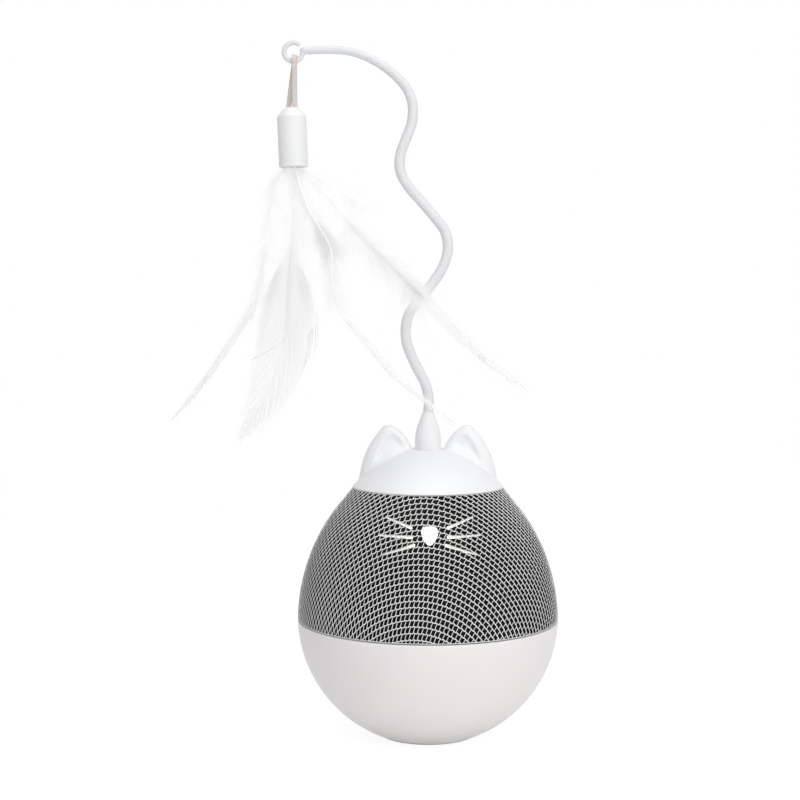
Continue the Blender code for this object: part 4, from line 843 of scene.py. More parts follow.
def column_number(angle, z):
    """Number of the column of stitches at the same place."""
    down = (DRAPE_TOP_Z - z) / DRAPE_LENGTH
    count = COLUMN_DRAPE[0] + COLUMN_DRAPE[1] * down + COLUMN_DRAPE[2] * down ** 2
    turn = angle - COLUMN_MIDDLE[0] - COLUMN_MIDDLE[1] * down
    return count * (COLUMN_EVEN_SHARE * turn + (1 - COLUMN_EVEN_SHARE) * math.sin(turn)) + COLUMN_TILT * z


rows_in_front = row_number(0, NET_FOOT_Z) - row_number(0, NET_TOP_Z)
columns_at_foot = column_number(0.5, NET_FOOT_Z) - column_number(-0.5, NET_FOOT_Z)
print(round(rows_in_front), "rows in the middle,", round(columns_at_foot), "columns to the radian at the foot")

# %% Following a row
QUARTER = math.pi / 2
ROW_STEPS = 220
SEARCH_TOP_Z = 0.1140


def row_height(number, angle):
    """Height at which a row crosses an angle, found by halving."""
    low, high = NET_FOOT_Z - 0.003, SEARCH_TOP_Z
    for _ in range(15):
        middle = (low + high) / 2
        if row_number(angle, middle) > number:
            low = middle
        else:
            high = middle
    return (low + high) / 2


angles = [QUARTER * step / ROW_STEPS for step in range(-ROW_STEPS, ROW_STEPS + 1)]
first_row = math.ceil(row_number(QUARTER, NET_TOP_Z))
last_row = math.floor(max(row_number(angle, NET_FOOT_Z) for angle in angles[::20]))
net_rows = []
for number in range(first_row, last_row + 2):
    run = [(angle, row_height(number, angle)) for angle in angles]
    net_rows.append([(angle, z, column_number(angle, z)) for angle, z in run])
print(len(net_rows), "rows of", len(angles), "points")

# %% Threads
ROW_THREAD = 0.00020
STITCH_THREAD = 0.000145
SEAM_THREAD = 0.00032
THREAD_FLATNESS = 0.55
THREAD_SIDES = 4
net_points, net_faces = [], []


def net_point(angle, z, half, lift):
    """A point on the net: half 0 is the front and half 1 the back."""
    radius = dome_radius(z) - NET_THICKNESS / 2 + lift
    turn = angle + half * math.pi
    return Vector((radius * math.sin(turn), -radius * math.cos(turn), z))


def inside_runs(run):
    """The parts of a run of (angle, height) pairs that lie on the net, ended exactly on its edges."""
    parts, part, last = [], [], None
    for here in run:
        is_inside = NET_FOOT_Z <= here[1] <= NET_TOP_Z
        if last and is_inside != was_inside:
            edge = NET_TOP_Z if max(here[1], last[1]) > NET_TOP_Z else NET_FOOT_Z
            share = (edge - last[1]) / (here[1] - last[1])
            part.append((last[0] + (here[0] - last[0]) * share, edge))
            if was_inside:
                parts.append(part)
                part = []
        if is_inside:
            part.append(here)
        last, was_inside = here, is_inside
    return parts + [part] if len(part) > 1 else parts


def add_thread(path, radius):
    """Add one thread along a path to the net."""
    start = len(net_points)
    for centre, way in zip(path, tangents(path)):
        out = Vector((centre.x, centre.y, 0)).normalized()
        side_way = way.cross(out).normalized()
        for x, y in circle(THREAD_SIDES):
            net_points.append(centre + (side_way * x + out * THREAD_FLATNESS * y) * radius)
    net_faces.extend(tube_faces(len(path), THREAD_SIDES, start))


def add_both_halves(run, lift, radius):
    """Add the threads of a run where it lies on the net, in front and behind."""
    for part in inside_runs(run):
        for half in (0, 1):
            add_thread([net_point(angle, z, half, lift) for angle, z in part], radius)


print("threads from", 2 * STITCH_THREAD / MM, "to", 2 * SEAM_THREAD / MM, "mm wide")

# %% Rows, hems and seams
ROW_WAVE = 0.00016
ROW_LIFT = 0.00010
for row in net_rows[:-1]:
    add_both_halves([(angle, z + ROW_WAVE * math.sin(2 * math.pi * column)) for angle, z, column in row],
                    ROW_LIFT, ROW_THREAD)
for hem_z in (NET_FOOT_Z, NET_TOP_Z):
    add_thread([net_point(angle, hem_z, 0, 0) for angle in evenly(0, 2 * math.pi, 360)], STITCH_THREAD)
seam_heights = evenly(NET_FOOT_Z, NET_TOP_Z, 60)
for side in (-QUARTER, QUARTER):
    add_thread([net_point(side, z, 0, 0) for z in seam_heights], SEAM_THREAD)
print("rows, hems and seams:", len(net_faces), "faces")

# %% Stitches between the rows
STITCH_LEAN = 0.45
STITCH_SINK = 0.00005


def place_on_row(row, column):
    """Angle and height where a row reaches a column number, or nothing if it doesn't."""
    if not row[0][2] <= column <= row[-1][2]:
        return None
    low, high = 0, len(row) - 1
    while high - low > 1:
        middle = (low + high) // 2
        low, high = (middle, high) if row[middle][2] < column else (low, middle)
    share = (column - row[low][2]) / (row[high][2] - row[low][2])
    return tuple(row[low][axis] + (row[high][axis] - row[low][axis]) * share for axis in (0, 1))


for upper, lower in zip(net_rows, net_rows[1:]):
    for column in range(math.ceil(lower[0][2]), math.floor(lower[-1][2]) + 1):
        foot = place_on_row(lower, column)
        head = place_on_row(upper, column + STITCH_LEAN)
        if head:
            middle = tuple((low + high) / 2 for low, high in zip(foot, head))
            add_both_halves([foot, middle, head], -STITCH_SINK, STITCH_THREAD)
print("with stitches:", len(net_faces), "faces")

# %% Thread finish and the finished net
FUZZ_SIZE = 0.0004
FUZZ_DEPTH = 0.00005
SOIL_SIZE = 0.012
thread = Finish("net_thread")
fuzz = thread.noise(FUZZ_SIZE)
soil = thread.noise(SOIL_SIZE, 3.0)
net_thread = thread.surface(
    Base_Color=thread.mix(fuzz * 0.5 + soil * 0.3, (0.87, 0.865, 0.86, 1), (0.64, 0.635, 0.63, 1)),
    Roughness=fuzz * 0.15 + 0.7, Specular_IOR_Level=0.2, Sheen_Weight=0.2,
    Normal=thread.bump(fuzz, FUZZ_DEPTH))
net = mesh_piece("net_threads", net_points, net_faces, net_thread, math.radians(80))
dress(net, "base", "net_sleeve")
sleeve_length = sum(math.hypot(upper - lower, dome_radius(upper) - dome_radius(lower))
                    for lower, upper in zip(seam_heights, seam_heights[1:]))

# %% [markdown]
# ## Ear cap
#
# The cap is one moulding: a shallow dome whose two ears grow out of it in soft curves, each scooped at the
# front. Soft blends between crossing forms are hard to build by hand and easy to melt: the dome and the ears
# are closed forms that overlap, a voxel remesh fuses them into one even skin, and smoothing rounds the
# joints. The scoops are pressed in afterwards by moving the front of the skin backwards.

# %% Cap outline
CAP_WIDTH_OVER_NET = 0.00035
CAP_RISE = 0.0168
CAP_EDGE_HEIGHT = 0.0004
CAP_WALL = 0.0018
CAP_HOLE_RADIUS = 0.0027
CAP_TRIM = 0.0020
WELL_RADIUS = 0.0061
WELL_DEPTH = 0.0012
WELL_EASE = 0.0022
CAP_STEPS = 72
cap_low, cap_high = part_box("ear_cap")
CAP_EDGE_Z = NET_TOP_Z + CLEARANCE
cap_radius = dome_radius(CAP_EDGE_Z) + CAP_WIDTH_OVER_NET
cap_base_z = CAP_EDGE_Z + CAP_EDGE_HEIGHT


def cap_height(radius):
    """Height of the cap's dome, with a shallow well in which the wand's boot stands."""
    well = WELL_DEPTH * (1 - ease((radius - WELL_RADIUS) / WELL_EASE))
    return cap_base_z + CAP_RISE * (1 - (radius / cap_radius) ** 2) - well


dome_steps = [cap_radius * (1 - step / CAP_STEPS) for step in range(CAP_STEPS)]
cap_outline = [(0, CAP_EDGE_Z - CAP_TRIM), (cap_radius, CAP_EDGE_Z - CAP_TRIM)]
cap_outline += [(radius, cap_height(radius)) for radius in dome_steps] + [(0, cap_height(0))]
cap = lathe("cap_skin", cap_outline, cap_white, 128)
print("cap radius", round(cap_radius / MM, 2), "mm")

# %% Ears
EAR_FOOT_LIFT = 0.0012
EAR_REACH = 0.0293
EAR_DEPTH = 0.0150
EAR_SECTION_SHARES = (
    (0.00, 0.16, 1.01, 1.00), (0.20, 0.17, 0.985, 0.92), (0.40, 0.19, 0.945, 0.82),
    (0.60, 0.215, 0.88, 0.70), (0.76, 0.285, 0.80, 0.58), (0.88, 0.37, 0.72, 0.46),
    (0.96, 0.455, 0.66, 0.34), (1.00, 0.52, 0.62, 0.20),
)
EAR_SIDES = 40
EAR_ROWS = 36
ear_foot_z = net_high.z + EAR_FOOT_LIFT
ear_height = cap_high.z - ear_foot_z
ear_edges = smooth_path([share[:3] for share in EAR_SECTION_SHARES], EAR_ROWS)
ear_depths = smooth_path([(share[3], 0, 0) for share in EAR_SECTION_SHARES], EAR_ROWS)


def ear(side):
    """A closed ear on one side of the cap. Each section has a height, two edges and a depth, as shares."""
    points = []
    for edges, depth in zip(ear_edges, ear_depths):
        middle = side * EAR_REACH * (edges.y + edges.z) / 2
        half_width = EAR_REACH * (edges.z - edges.y) / 2
        points += [(middle + half_width * x, EAR_DEPTH * depth.x / 2 * y, ear_foot_z + ear_height * edges.x)
                   for x, y in circle(EAR_SIDES)]
    return solid("ear", points, tube_faces(EAR_ROWS + 1, EAR_SIDES), cap_white)


for side in (-1, 1):
    carve(cap, ear(side), "UNION")
print("cap and ears joined,", len(cap.data.polygons), "faces")

# %% Melting the ears into the dome
MELT_VOXEL = 0.00045
MELT_ROUNDS = 8

melt = cap.modifiers.new("melt", "REMESH")
melt.mode = "VOXEL"
melt.voxel_size = MELT_VOXEL
settle(cap)
cap_maker = bmesh.new()
cap_maker.from_mesh(cap.data)
for _ in range(MELT_ROUNDS):
    above_edge = [vertex for vertex in cap_maker.verts if vertex.co.z > CAP_EDGE_Z + 2 * MELT_VOXEL]
    bmesh.ops.smooth_vert(cap_maker, verts=above_edge, factor=0.5,
                          use_axis_x=True, use_axis_y=True, use_axis_z=True)
print("melted cap has", len(cap_maker.faces), "faces")

# %% Scoops in the ears
SCOOP_DEPTH = 0.0023
SCOOP_EASE = 0.0030
SCOOP_FOOT_Z = 0.1070
SCOOP_CLEAR = 0.0004
SCOOP_FADE = 0.0045
# the rim of a scoop, from the inner side over the top to the outer side
SCOOP_RIM = ((0.0050, 0.1120), (0.0078, 0.1200), (0.0103, 0.1247), (0.0136, 0.1276), (0.0166, 0.1275),
             (0.0195, 0.1243), (0.0222, 0.1190), (0.0243, 0.1140), (0.0258, 0.1090), (0.0262, 0.1060))
scoop_rim = [Vector((point.x, point.y)) for point in smooth_path([(x, z, 0) for x, z in SCOOP_RIM], 60)]


def scoop(x, y, z):
    """How far the front of an ear is pressed in at a place, as a share: not at all where it is dome."""
    here = Vector((abs(x), z))
    nearest = min(range(len(scoop_rim)), key=lambda index: (scoop_rim[index] - here).length_squared)
    near = min(max(nearest, 1), len(scoop_rim) - 2)
    along = scoop_rim[near + 1] - scoop_rim[near - 1]
    away = here - scoop_rim[nearest]
    inside = (along.y * away.x - along.x * away.y) / along.length
    proud = z - cap_height(math.hypot(x, y)) - SCOOP_CLEAR
    return ease(inside / SCOOP_EASE) * ease(proud / SCOOP_FADE)


for vertex in cap_maker.verts:
    x, y, z = vertex.co
    if y < MM and z > SCOOP_FOOT_Z and abs(x) > SCOOP_RIM[0][0]:
        vertex.co.y += SCOOP_DEPTH * scoop(x, y, z) * ease((MM - y) / (2 * MM))
cap_maker.to_mesh(cap.data)
cap_maker.free()
print("scoops pressed in")

# %% Trimming the cap
SKIRT_OVERLAP = 0.0002
skirt_outer = dome_radius(NET_TOP_Z) - SHELL_GAP - INNER_WALL - CLEARANCE
skirt_inner = skirt_outer - CAP_WALL
trim_outline = [(0, CAP_EDGE_Z - 3 * CAP_TRIM), (2 * cap_radius, CAP_EDGE_Z - 3 * CAP_TRIM),
                (2 * cap_radius, CAP_EDGE_Z), (0, CAP_EDGE_Z)]
hollow_outline = [(0, CAP_EDGE_Z - MM), (skirt_inner, CAP_EDGE_Z - MM)]
hollow_outline += [(radius, cap_height(radius) - CAP_WALL) for radius in evenly(skirt_inner, 0, 16)]
hole_outline = [(0, CAP_EDGE_Z), (CAP_HOLE_RADIUS, CAP_EDGE_Z), (CAP_HOLE_RADIUS, cap_high.z), (0, cap_high.z)]
for name, outline, sides in (("trim", trim_outline, 32), ("hollow", hollow_outline, 96),
                             ("hole", hole_outline, 48)):
    carve(cap, lathe(name, outline, cap_white, sides))
dress(smoothed(cap, math.radians(50)), "base", "ear_cap")
skirt_outline = [(skirt_inner, cap_low.z), (skirt_outer, cap_low.z),
                 (skirt_outer, CAP_EDGE_Z + SKIRT_OVERLAP), (skirt_inner, CAP_EDGE_Z + SKIRT_OVERLAP)]
dress(lathe("cap_skirt", rounded(skirt_outline, EDGE_RADIUS), cap_white, 128), "base")
print("cap skin has", len(cap.data.polygons), "faces")

# %% [markdown]
# ## Wand
#
# The boot is shaped like a small bottle: nearly straight at its foot, then drawn in to the rod in one long
# curve. The rod is one bent plastic wire, a little thinner towards its end, where an open ring grows out of
# it. The ring is a second sweep that starts inside the rod's end and is joined on with a Boolean. The boot's
# skirt reaches down into the cap's well, so no gap shows under it.

# %% Boot
boot_low, boot_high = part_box("wand_boot")
BOOT_SKIRT_DROP = 0.0017
BOOT_SKIRT_RADIUS = 0.0044
BOOT_FOOT_RADIUS = 0.0055
BOOT_PROFILE = ((5.40, -1.7), (5.5, -1.2), (5.52, 3.0), (5.36, 5.6), (5.0, 7.6), (4.4, 9.6), (3.7, 11.4),
                (3.1, 13.0), (2.7, 14.3), (2.45, 15.0))
SHAFT_CLEAR_RADIUS = 0.0023
BOOT_SOCKET_TOP = 0.0085
boot_width = boot_high.x / BOOT_FOOT_RADIUS
boot_path = smooth_path([(radius * MM * boot_width, up * MM, 0) for radius, up in BOOT_PROFILE], 40)
boot_inside = [(0, BOOT_SOCKET_TOP), (SHAFT_CLEAR_RADIUS, BOOT_SOCKET_TOP), (SHAFT_CLEAR_RADIUS, 0),
               (BOOT_SKIRT_RADIUS, 0), (BOOT_SKIRT_RADIUS, -BOOT_SKIRT_DROP)]
boot_outline = [(radius, boot_low.z + up) for radius, up in boot_inside]
boot_outline += [(point.x, min(boot_low.z + point.y, boot_high.z)) for point in boot_path]
boot_outline += [(0, boot_high.z)]
dress(lathe("boot_skin", boot_outline, boot_white, 96), "wand", "wand_boot")
print("boot from", round(boot_low.z / MM, 1), "to", round(boot_high.z / MM, 1), "mm")

# %% Rod and ring
WAND_HEIGHT = 0.1550
WAND_REACH = 0.0560
ROD_RADIUS = 0.00215
ROD_END_RADIUS = 0.00165
ROD_TAPER_SHARE = 0.65
ROD_STEPS = 260
WAND_ROUTE_SHARES = (
    (0.000, 0.000), (0.003, 0.030), (0.006, 0.062), (-0.020, 0.104), (-0.085, 0.150), (-0.151, 0.205),
    (-0.168, 0.248), (-0.143, 0.292), (-0.061, 0.335), (0.038, 0.379), (0.113, 0.422), (0.148, 0.470),
    (0.127, 0.515), (0.062, 0.548), (-0.035, 0.590), (-0.130, 0.628), (-0.192, 0.663), (-0.214, 0.697),
    (-0.196, 0.735), (-0.154, 0.773), (-0.120, 0.811), (-0.116, 0.853), (-0.150, 0.891), (-0.225, 0.925),
    (-0.330, 0.956), (-0.450, 0.980), (-0.586, 0.996), (-0.736, 1.000), (-0.832, 0.999), (-0.917, 0.998),
)
RING_RADIUS = 0.00385
RING_WIRE_RADIUS = 0.00108
RING_DROP = 0.0009
RING_START = math.radians(12)
RING_END = math.radians(-300)
rod_foot_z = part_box("wand_rod")[0].z
ring_centre = Vector((-WAND_REACH, 0, rod_foot_z + WAND_HEIGHT - RING_DROP))
route = [Vector((WAND_REACH * across, 0, rod_foot_z + WAND_HEIGHT * up)) for across, up in WAND_ROUTE_SHARES]
ring_path = [ring_centre + RING_RADIUS * Vector((math.cos(angle), 0, math.sin(angle)))
             for angle in evenly(RING_START, RING_END, 60)]
rod_path = smooth_path(route, ROD_STEPS)
rod_radii = []
for share in shares(ROD_STEPS):
    late = ease((share - ROD_TAPER_SHARE) / (1 - ROD_TAPER_SHARE))
    rod_radii.append(ROD_RADIUS + (ROD_END_RADIUS - ROD_RADIUS) * late)
rod = solid("rod_skin", *sweep(rod_path, rod_radii, 24), wand_white)
ring_radii = [RING_WIRE_RADIUS] * len(ring_path)
carve(rod, solid("ring", *sweep(ring_path, ring_radii, 20, 4), wand_white), "UNION")
dress(smoothed(rod, math.radians(60)), "wand", "wand_rod")
print("rod and ring have", len(rod.data.polygons), "faces")

# %% [markdown]
# ## Cord loop
#
# A flat woven strap passes over the ring's lowest wire, and both ends go into the ferrule. It is 2 mm wide
# and carries the lure, so both runs hang straight. The front run faces forwards and the back run is turned a
# little, so they look unlike. Its weave is finer than a hair at this size and stays in the bump. Along each
# edge runs a thin thread of darker beige, which paints the shade where the strap's edges turn away.

# %% Route of the cord
CORD_HALF_WIDTH = 0.00100
CORD_FLAT_SHARE = 0.40
CORD_SHIFT = 0.0004
CORD_SPREAD_FRONT = 0.00145
CORD_SPREAD_BACK = -0.00150
CORD_DEPTH = 0.0012
CORD_SINK = 0.0012
FOLD_STRETCH = 1.35
RUN_STEPS = 30
LOOP_DROP = 0.01865
CAD_RING_RADIUS = 0.00395
FERRULE_SHIFT = 0.0009
FERRULE_NECK_RADIUS = 0.0035
loop_pivot = ring_centre - Vector((0, 0, RING_RADIUS))
ferrule_top_z = ring_centre.z - CAD_RING_RADIUS - LOOP_DROP
lure_pivot = Vector((-WAND_REACH - FERRULE_SHIFT, 0, ferrule_top_z - FERRULE_NECK_RADIUS))
fold_radius = RING_WIRE_RADIUS + CORD_HALF_WIDTH * CORD_FLAT_SHARE + CLEARANCE
back_foot, front_foot = [Vector((lure_pivot.x + spread, depth, ferrule_top_z - CORD_SINK)) for spread, depth
                         in ((CORD_SPREAD_BACK, CORD_DEPTH), (CORD_SPREAD_FRONT, -CORD_DEPTH))]
fold = []
for share in shares(16):
    deep, high = fold_radius * math.cos(math.pi * share), fold_radius * math.sin(math.pi * share)
    fold.append(loop_pivot + Vector((CORD_SHIFT, deep, high * FOLD_STRETCH)))
cord_path = [back_foot.lerp(fold[0], share) for share in shares(RUN_STEPS)[:-1]] + fold
cord_path += [fold[-1].lerp(front_foot, share) for share in shares(RUN_STEPS)[1:]]
cord_length = sum((after - before).length for before, after in zip(cord_path, cord_path[1:]))
print("cord is", round(cord_length / MM, 1), "mm long")

# %% Cord finishes
RIB_SCALE = 900.0
RIB_DEPTH = 0.00003
weave = Finish("cord_beige")
rib = weave.node("ShaderNodeTexWave", {"wave_type": "BANDS", "bands_direction": "Z"}, {
    "Vector": weave.place(), "Scale": RIB_SCALE, "Distortion": 1.5, "Detail": 1.0}, output=1)
cord_fuzz = weave.noise(FUZZ_SIZE)
cord_beige = weave.surface(
    Base_Color=weave.mix(rib * 0.3 + cord_fuzz * 0.5, paint(226, 220, 216), paint(204, 196, 191)),
    Roughness=cord_fuzz * 0.1 + 0.8, Specular_IOR_Level=0.2, Normal=weave.bump(rib, RIB_DEPTH))
# the darker beige of the edge threads is painted shade along the strap's edges
cord_edge_shade = dull("cord_edge_shade", paint(186, 176, 169), paint(204, 196, 190), 0.001, 0.8, 0.00002)
print("cord finishes ready")

# %% Cord loop
STRAP_SIDES = 16
EDGE_SHADE_THREAD_RADIUS = 0.00014
BACK_TURN = math.radians(35)
cord_points, cord_edges = [], ([], [])
for index, (centre, way) in enumerate(zip(cord_path, tangents(cord_path))):
    turn = BACK_TURN * (1 - ease(index / RUN_STEPS))
    wide_way = Vector((math.cos(turn), math.sin(turn), 0))
    wide = (wide_way - way * wide_way.dot(way)).normalized()
    thin = wide.cross(way)
    for x, y in circle(STRAP_SIDES):
        boxy = (abs(x) ** 4 + abs(y) ** 4) ** -0.25
        cord_points.append(centre + (wide * x + thin * y * CORD_FLAT_SHARE) * CORD_HALF_WIDTH * boxy)
    for edge, sign in zip(cord_edges, (-1, 1)):
        edge.append(centre + wide * sign * CORD_HALF_WIDTH)
cord = solid("cord_strap", cord_points, tube_faces(len(cord_path), STRAP_SIDES), cord_beige)
dress(cord, "loop", "cord_loop")
# two thin darker threads along the edges paint the strap's edge shade
edge_shade_threads = []
for number, edge in enumerate(cord_edges):
    thread_mesh = sweep(edge, [EDGE_SHADE_THREAD_RADIUS] * len(edge), 6)
    edge_shade_threads.append(mesh_piece(f"cord_edge_shade_thread_{number + 1}", *thread_mesh, cord_edge_shade))
    dress(edge_shade_threads[-1], "loop")
print("cord loop with", len(edge_shade_threads), "edge_shade_threads")

# %% [markdown]
# ## Ferrule
#
# The ferrule is a turned plastic thimble. It has a round neck, a sloping shoulder and soft edges, and it
# hangs with a slight tilt. The feathers come out of its open foot.

# %% Ferrule
FERRULE_LENGTH = 0.0250
FERRULE_RADIUS = 0.0061
FERRULE_TOP_RADIUS = 0.0029
FERRULE_TOP_DROP = 0.0003
FERRULE_SHOULDER_DROP = 0.0040
FERRULE_TILT = math.radians(2.3)
FERRULE_WALL = 0.0010
FERRULE_ROUNDING = 0.0007
FERRULE_SOCKET = 0.0030
SEAM_HEIGHT = 0.0018
SEAM_DEPTH = 0.00012
neck = FERRULE_NECK_RADIUS
foot = neck - FERRULE_LENGTH
seam_low, seam_high = foot + SEAM_HEIGHT, foot + SEAM_HEIGHT + 2 * SEAM_DEPTH
ferrule_corners = [
    (0, foot + FERRULE_SOCKET), (FERRULE_RADIUS - FERRULE_WALL, foot + FERRULE_SOCKET),
    (FERRULE_RADIUS - FERRULE_WALL, foot), (FERRULE_RADIUS, foot), (FERRULE_RADIUS, seam_low),
    (FERRULE_RADIUS - SEAM_DEPTH, seam_low), (FERRULE_RADIUS - SEAM_DEPTH, seam_high),
    (FERRULE_RADIUS, seam_high), (FERRULE_RADIUS, neck - FERRULE_SHOULDER_DROP),
    (FERRULE_TOP_RADIUS, neck - FERRULE_TOP_DROP), (0, neck - FERRULE_TOP_DROP)]
ferrule = lathe("ferrule_skin", rounded(ferrule_corners, FERRULE_ROUNDING, 5), ferrule_white, 96)
ferrule.data.set_sharp_from_angle(angle=math.radians(50))
ferrule.location = lure_pivot
ferrule.rotation_euler = (0, -FERRULE_TILT, 0)
dress(ferrule, "lure", "lure_ferrule")
lure_foot = lure_pivot + Vector((math.sin(FERRULE_TILT), 0, -math.cos(FERRULE_TILT))) * -foot
print("feathers start at", [round(value / MM, 1) for value in lure_foot], "mm")

# %% [markdown]
# ## Feathers
#
# A feather is a quill with hundreds of barbs. Near the tip the barbs lie side by side and hook together into
# a vane. Near the foot they are loose down. A picture on a flat card would have no thickness, so every barb
# is a narrow ribbon. In the vane a barb leaves the quill, bends towards the tip and ends on the vane's
# outline. The slender feathers are so narrow that single barbs would hardly show, so one closed web stands
# for most of theirs, with a few barbs in front. In the down the ribbons are thinner than a hair, long and
# wavy, and grow in tufts.
#
# Feathers are bright because light passes through them, so the finish mixes a Translucent shader into the
# plain one. Light that has bounced many times inside the down is more than the renderer follows, so a faint
# glow stands for it.

# %% Feather finishes
THROUGH_SHARE = 0.35
BLUE_SHARE = 0.005
STRAND_SIZE = 0.0008
CLOUD_SIZE = 0.012


def feather_finish(name, glow, white=0.985, shade=0.93):
    """White barbs that light passes through, with a faint glow that paints in light bounced inside them."""
    plume = Finish(name)
    strand, cloud = plume.noise(STRAND_SIZE), plume.noise(CLOUD_SIZE)
    tones = [(level, level, level + BLUE_SHARE, 1) for level in (white, shade)]
    tone = plume.mix(cloud * 0.5 + strand * 0.3, *tones)
    plume.surface(Base_Color=tone, Roughness=strand * 0.1 + 0.75, Specular_IOR_Level=0.1,
                  Emission_Color=tone, Emission_Strength=glow)
    through = plume.node("ShaderNodeBsdfTranslucent", inputs={"Color": tone})
    plume.show(plume.blend(THROUGH_SHARE, Wire(plume, plume.shader.outputs["BSDF"]), through))
    return plume.material


# the second number is a glow of painted light, strongest for the loose down
feather_white = feather_finish("feather_white", 0.03)
feather_strong_glow = feather_finish("feather_strong_glow", 0.10)
feather_sleek = feather_finish("feather_sleek", 0.035, 0.968, 0.935)
# the quill's faint glow is painted light that brightens it beyond what the lamps give
quill_finish = Finish("quill_cream_glow")
quill_tone = quill_finish.noise(0.004)
quill_cream_glow = quill_finish.surface(
    Base_Color=quill_finish.mix(quill_tone, (0.97, 0.955, 0.92, 1), (0.92, 0.90, 0.85, 1)),
    Roughness=quill_tone * 0.1 + 0.35, Emission_Color=(1.0, 0.98, 0.93, 1), Emission_Strength=0.12)
# grey for the loose barb, and painted shade for the barbs along the split
grey_barb_and_split_shade = dull("grey_barb_and_split_shade", paint(196, 196, 198), paint(222, 222, 224), 0.003, 0.7, 0.00001)
print("feather finishes ready")

# %% Ribbons and spines
def add_ribbon(points, faces, path, half_widths, facing):
    """Add one flat ribbon along a path, its face turned to a direction."""
    for row, (centre, width, way) in enumerate(zip(path, half_widths, tangents(path))):
        wide = way.cross(facing).normalized() * width
        points += [centre - wide, centre + wide]
        if row:
            last = len(points) - 1
            faces.append((last - 3, last - 2, last, last - 1))


def between_entries(table, share):
    """The entry of an evenly spaced table before a share of its length, and how far it is to the next."""
    index = min(max(share, 0), 1) * (len(table) - 1)
    low = min(int(index), len(table) - 2)
    return low, index - low


def on_spine(spine, share):
    """Place and direction at a share of the spine's length, with the vane's side and normal there."""
    low, part = between_entries(spine, share)
    way = (spine[low + 1] - spine[low]).normalized()
    side = Vector((-way.z, 0, way.x)).normalized()
    return spine[low].lerp(spine[low + 1], part), way, side, side.cross(way)


def along_table(table, share):
    """Value at a share of a table whose entries are evenly spaced."""
    low, part = between_entries(table, share)
    return table[low] + (table[low + 1] - table[low]) * part


print("halfway along 0, 4, 6 is", along_table((0, 4, 6), 0.5))

# %% Vane
BARB_STEPS = 8
BARB_TILT = 0.06
BARB_ROOT_REACH = 0.10
BARB_REACHES = (0.78, 1.04)
BARB_BEND = 0.40
BARB_BEND_OUT = 0.72
BARB_BELLY = 0.0003
BARB_LIFT = 0.10
BARB_TAPER = 0.75
BARB_CHANCE = 0.15
VANE_FADE = 0.10
LEAST_WIDTH = 0.02
CLUMP_SIZES = (5, 8, 12, 17, 24)
CLUMP_REACHES = (0.95, 1.02)


def vane(points, faces, spine, size, widths, dice):
    """Barbs on both sides of a spine, each ending on the vane's outline."""
    length = sum((after - before).length for before, after in zip(spine, spine[1:]))
    first, barbs = size["vane_from"], size["barbs"]
    for sign, fullness, cover in zip((-1, 1), size["sides"], size["cover"]):
        barb_width = length * (1 - first) / barbs * cover
        clump_end = 0
        for barb in range(barbs):
            if barb >= clump_end:
                clump_middle = barb + dice.choice(CLUMP_SIZES) / 2
                clump_end = 2 * clump_middle - barb
                pull = dice.uniform(0, 1) * size["splits"]
                reach = dice.uniform(*CLUMP_REACHES)
            tip_share = first + (1 - first) * (barb + 0.5) / barbs
            width = size["half_width"] * max(along_table(widths, tip_share), LEAST_WIDTH) * fullness
            grown = ease((tip_share - first) / VANE_FADE)
            if dice.random() > grown + BARB_CHANCE:
                continue
            root_share = max(tip_share - size["sweep"] * width / length, first - BARB_ROOT_REACH)
            root = on_spine(spine, root_share)[0]
            bend_place, _, bend_side, _ = on_spine(spine, root_share + BARB_BEND * (tip_share - root_share))
            tip_place, way, side, normal = on_spine(spine, tip_share + (clump_middle - barb) * pull / barbs)
            out = sign * width * reach * dice.uniform(*BARB_REACHES) * (0.5 + 0.5 * grown)
            lift = normal * dice.uniform(-BARB_LIFT, BARB_LIFT) * MM
            tip = tip_place + side * out + lift
            bend = bend_place + bend_side * out * BARB_BEND_OUT + normal * BARB_BELLY + lift
            path = [bow(root, bend, tip, share) for share in shares(BARB_STEPS)]
            half_widths = [barb_width * (1 - BARB_TAPER * share ** 2) for share in shares(BARB_STEPS)]
            facing = normal + (side + way) * dice.uniform(-BARB_TILT, BARB_TILT)
            add_ribbon(points, faces, path, half_widths, facing)


print("barbs of", BARB_STEPS, "steps")

# %% Web
WEB_STEPS = 60
WEB_START_STEPS = 6
WEB_BEHIND = 0.0005


def web(points, faces, spine, size, widths):
    """The closed web that the hooked barbs make, as one ribbon just behind them."""
    first = size["vane_from"] + VANE_FADE / 2
    path, half_widths = [], []
    for step, share in enumerate(evenly(first, 1, WEB_STEPS)):
        place, _, _, normal = on_spine(spine, share)
        path.append(place + normal * WEB_BEHIND)
        half_widths.append(size["half_width"] * along_table(widths, share) * size["web"]
                           * min(step / WEB_START_STEPS, 1))
    add_ribbon(points, faces, path, half_widths, on_spine(spine, 0.5)[3])


print("web of", WEB_STEPS, "steps")

# %% Down
STRAND_STEPS = 7
STRANDS_IN_TUFT = (16, 36)
STRAND_HALF_WIDTH = 0.000017
STRAND_SPREAD = 0.28
STRAND_RIPPLE = 0.06
STRAND_SAG = 0.25
STRAND_CURL = 0.35
STRAND_REACHES = (0.45, 1.0)
STRAND_TURN = 0.6
TUFT_REACHES = (0.6, 1.15)
TUFT_OUT = (0.35, 1.0)
TUFT_FORWARD = (0.5, 1.3)
TUFT_DEPTH = 0.35
FOOT_SCATTER = 0.0012
CROWN_SHARE = 0.16
CROWN_TRIM = 0.35


def random_vector(dice, *limits):
    return Vector([dice.uniform(*limit) for limit in limits])


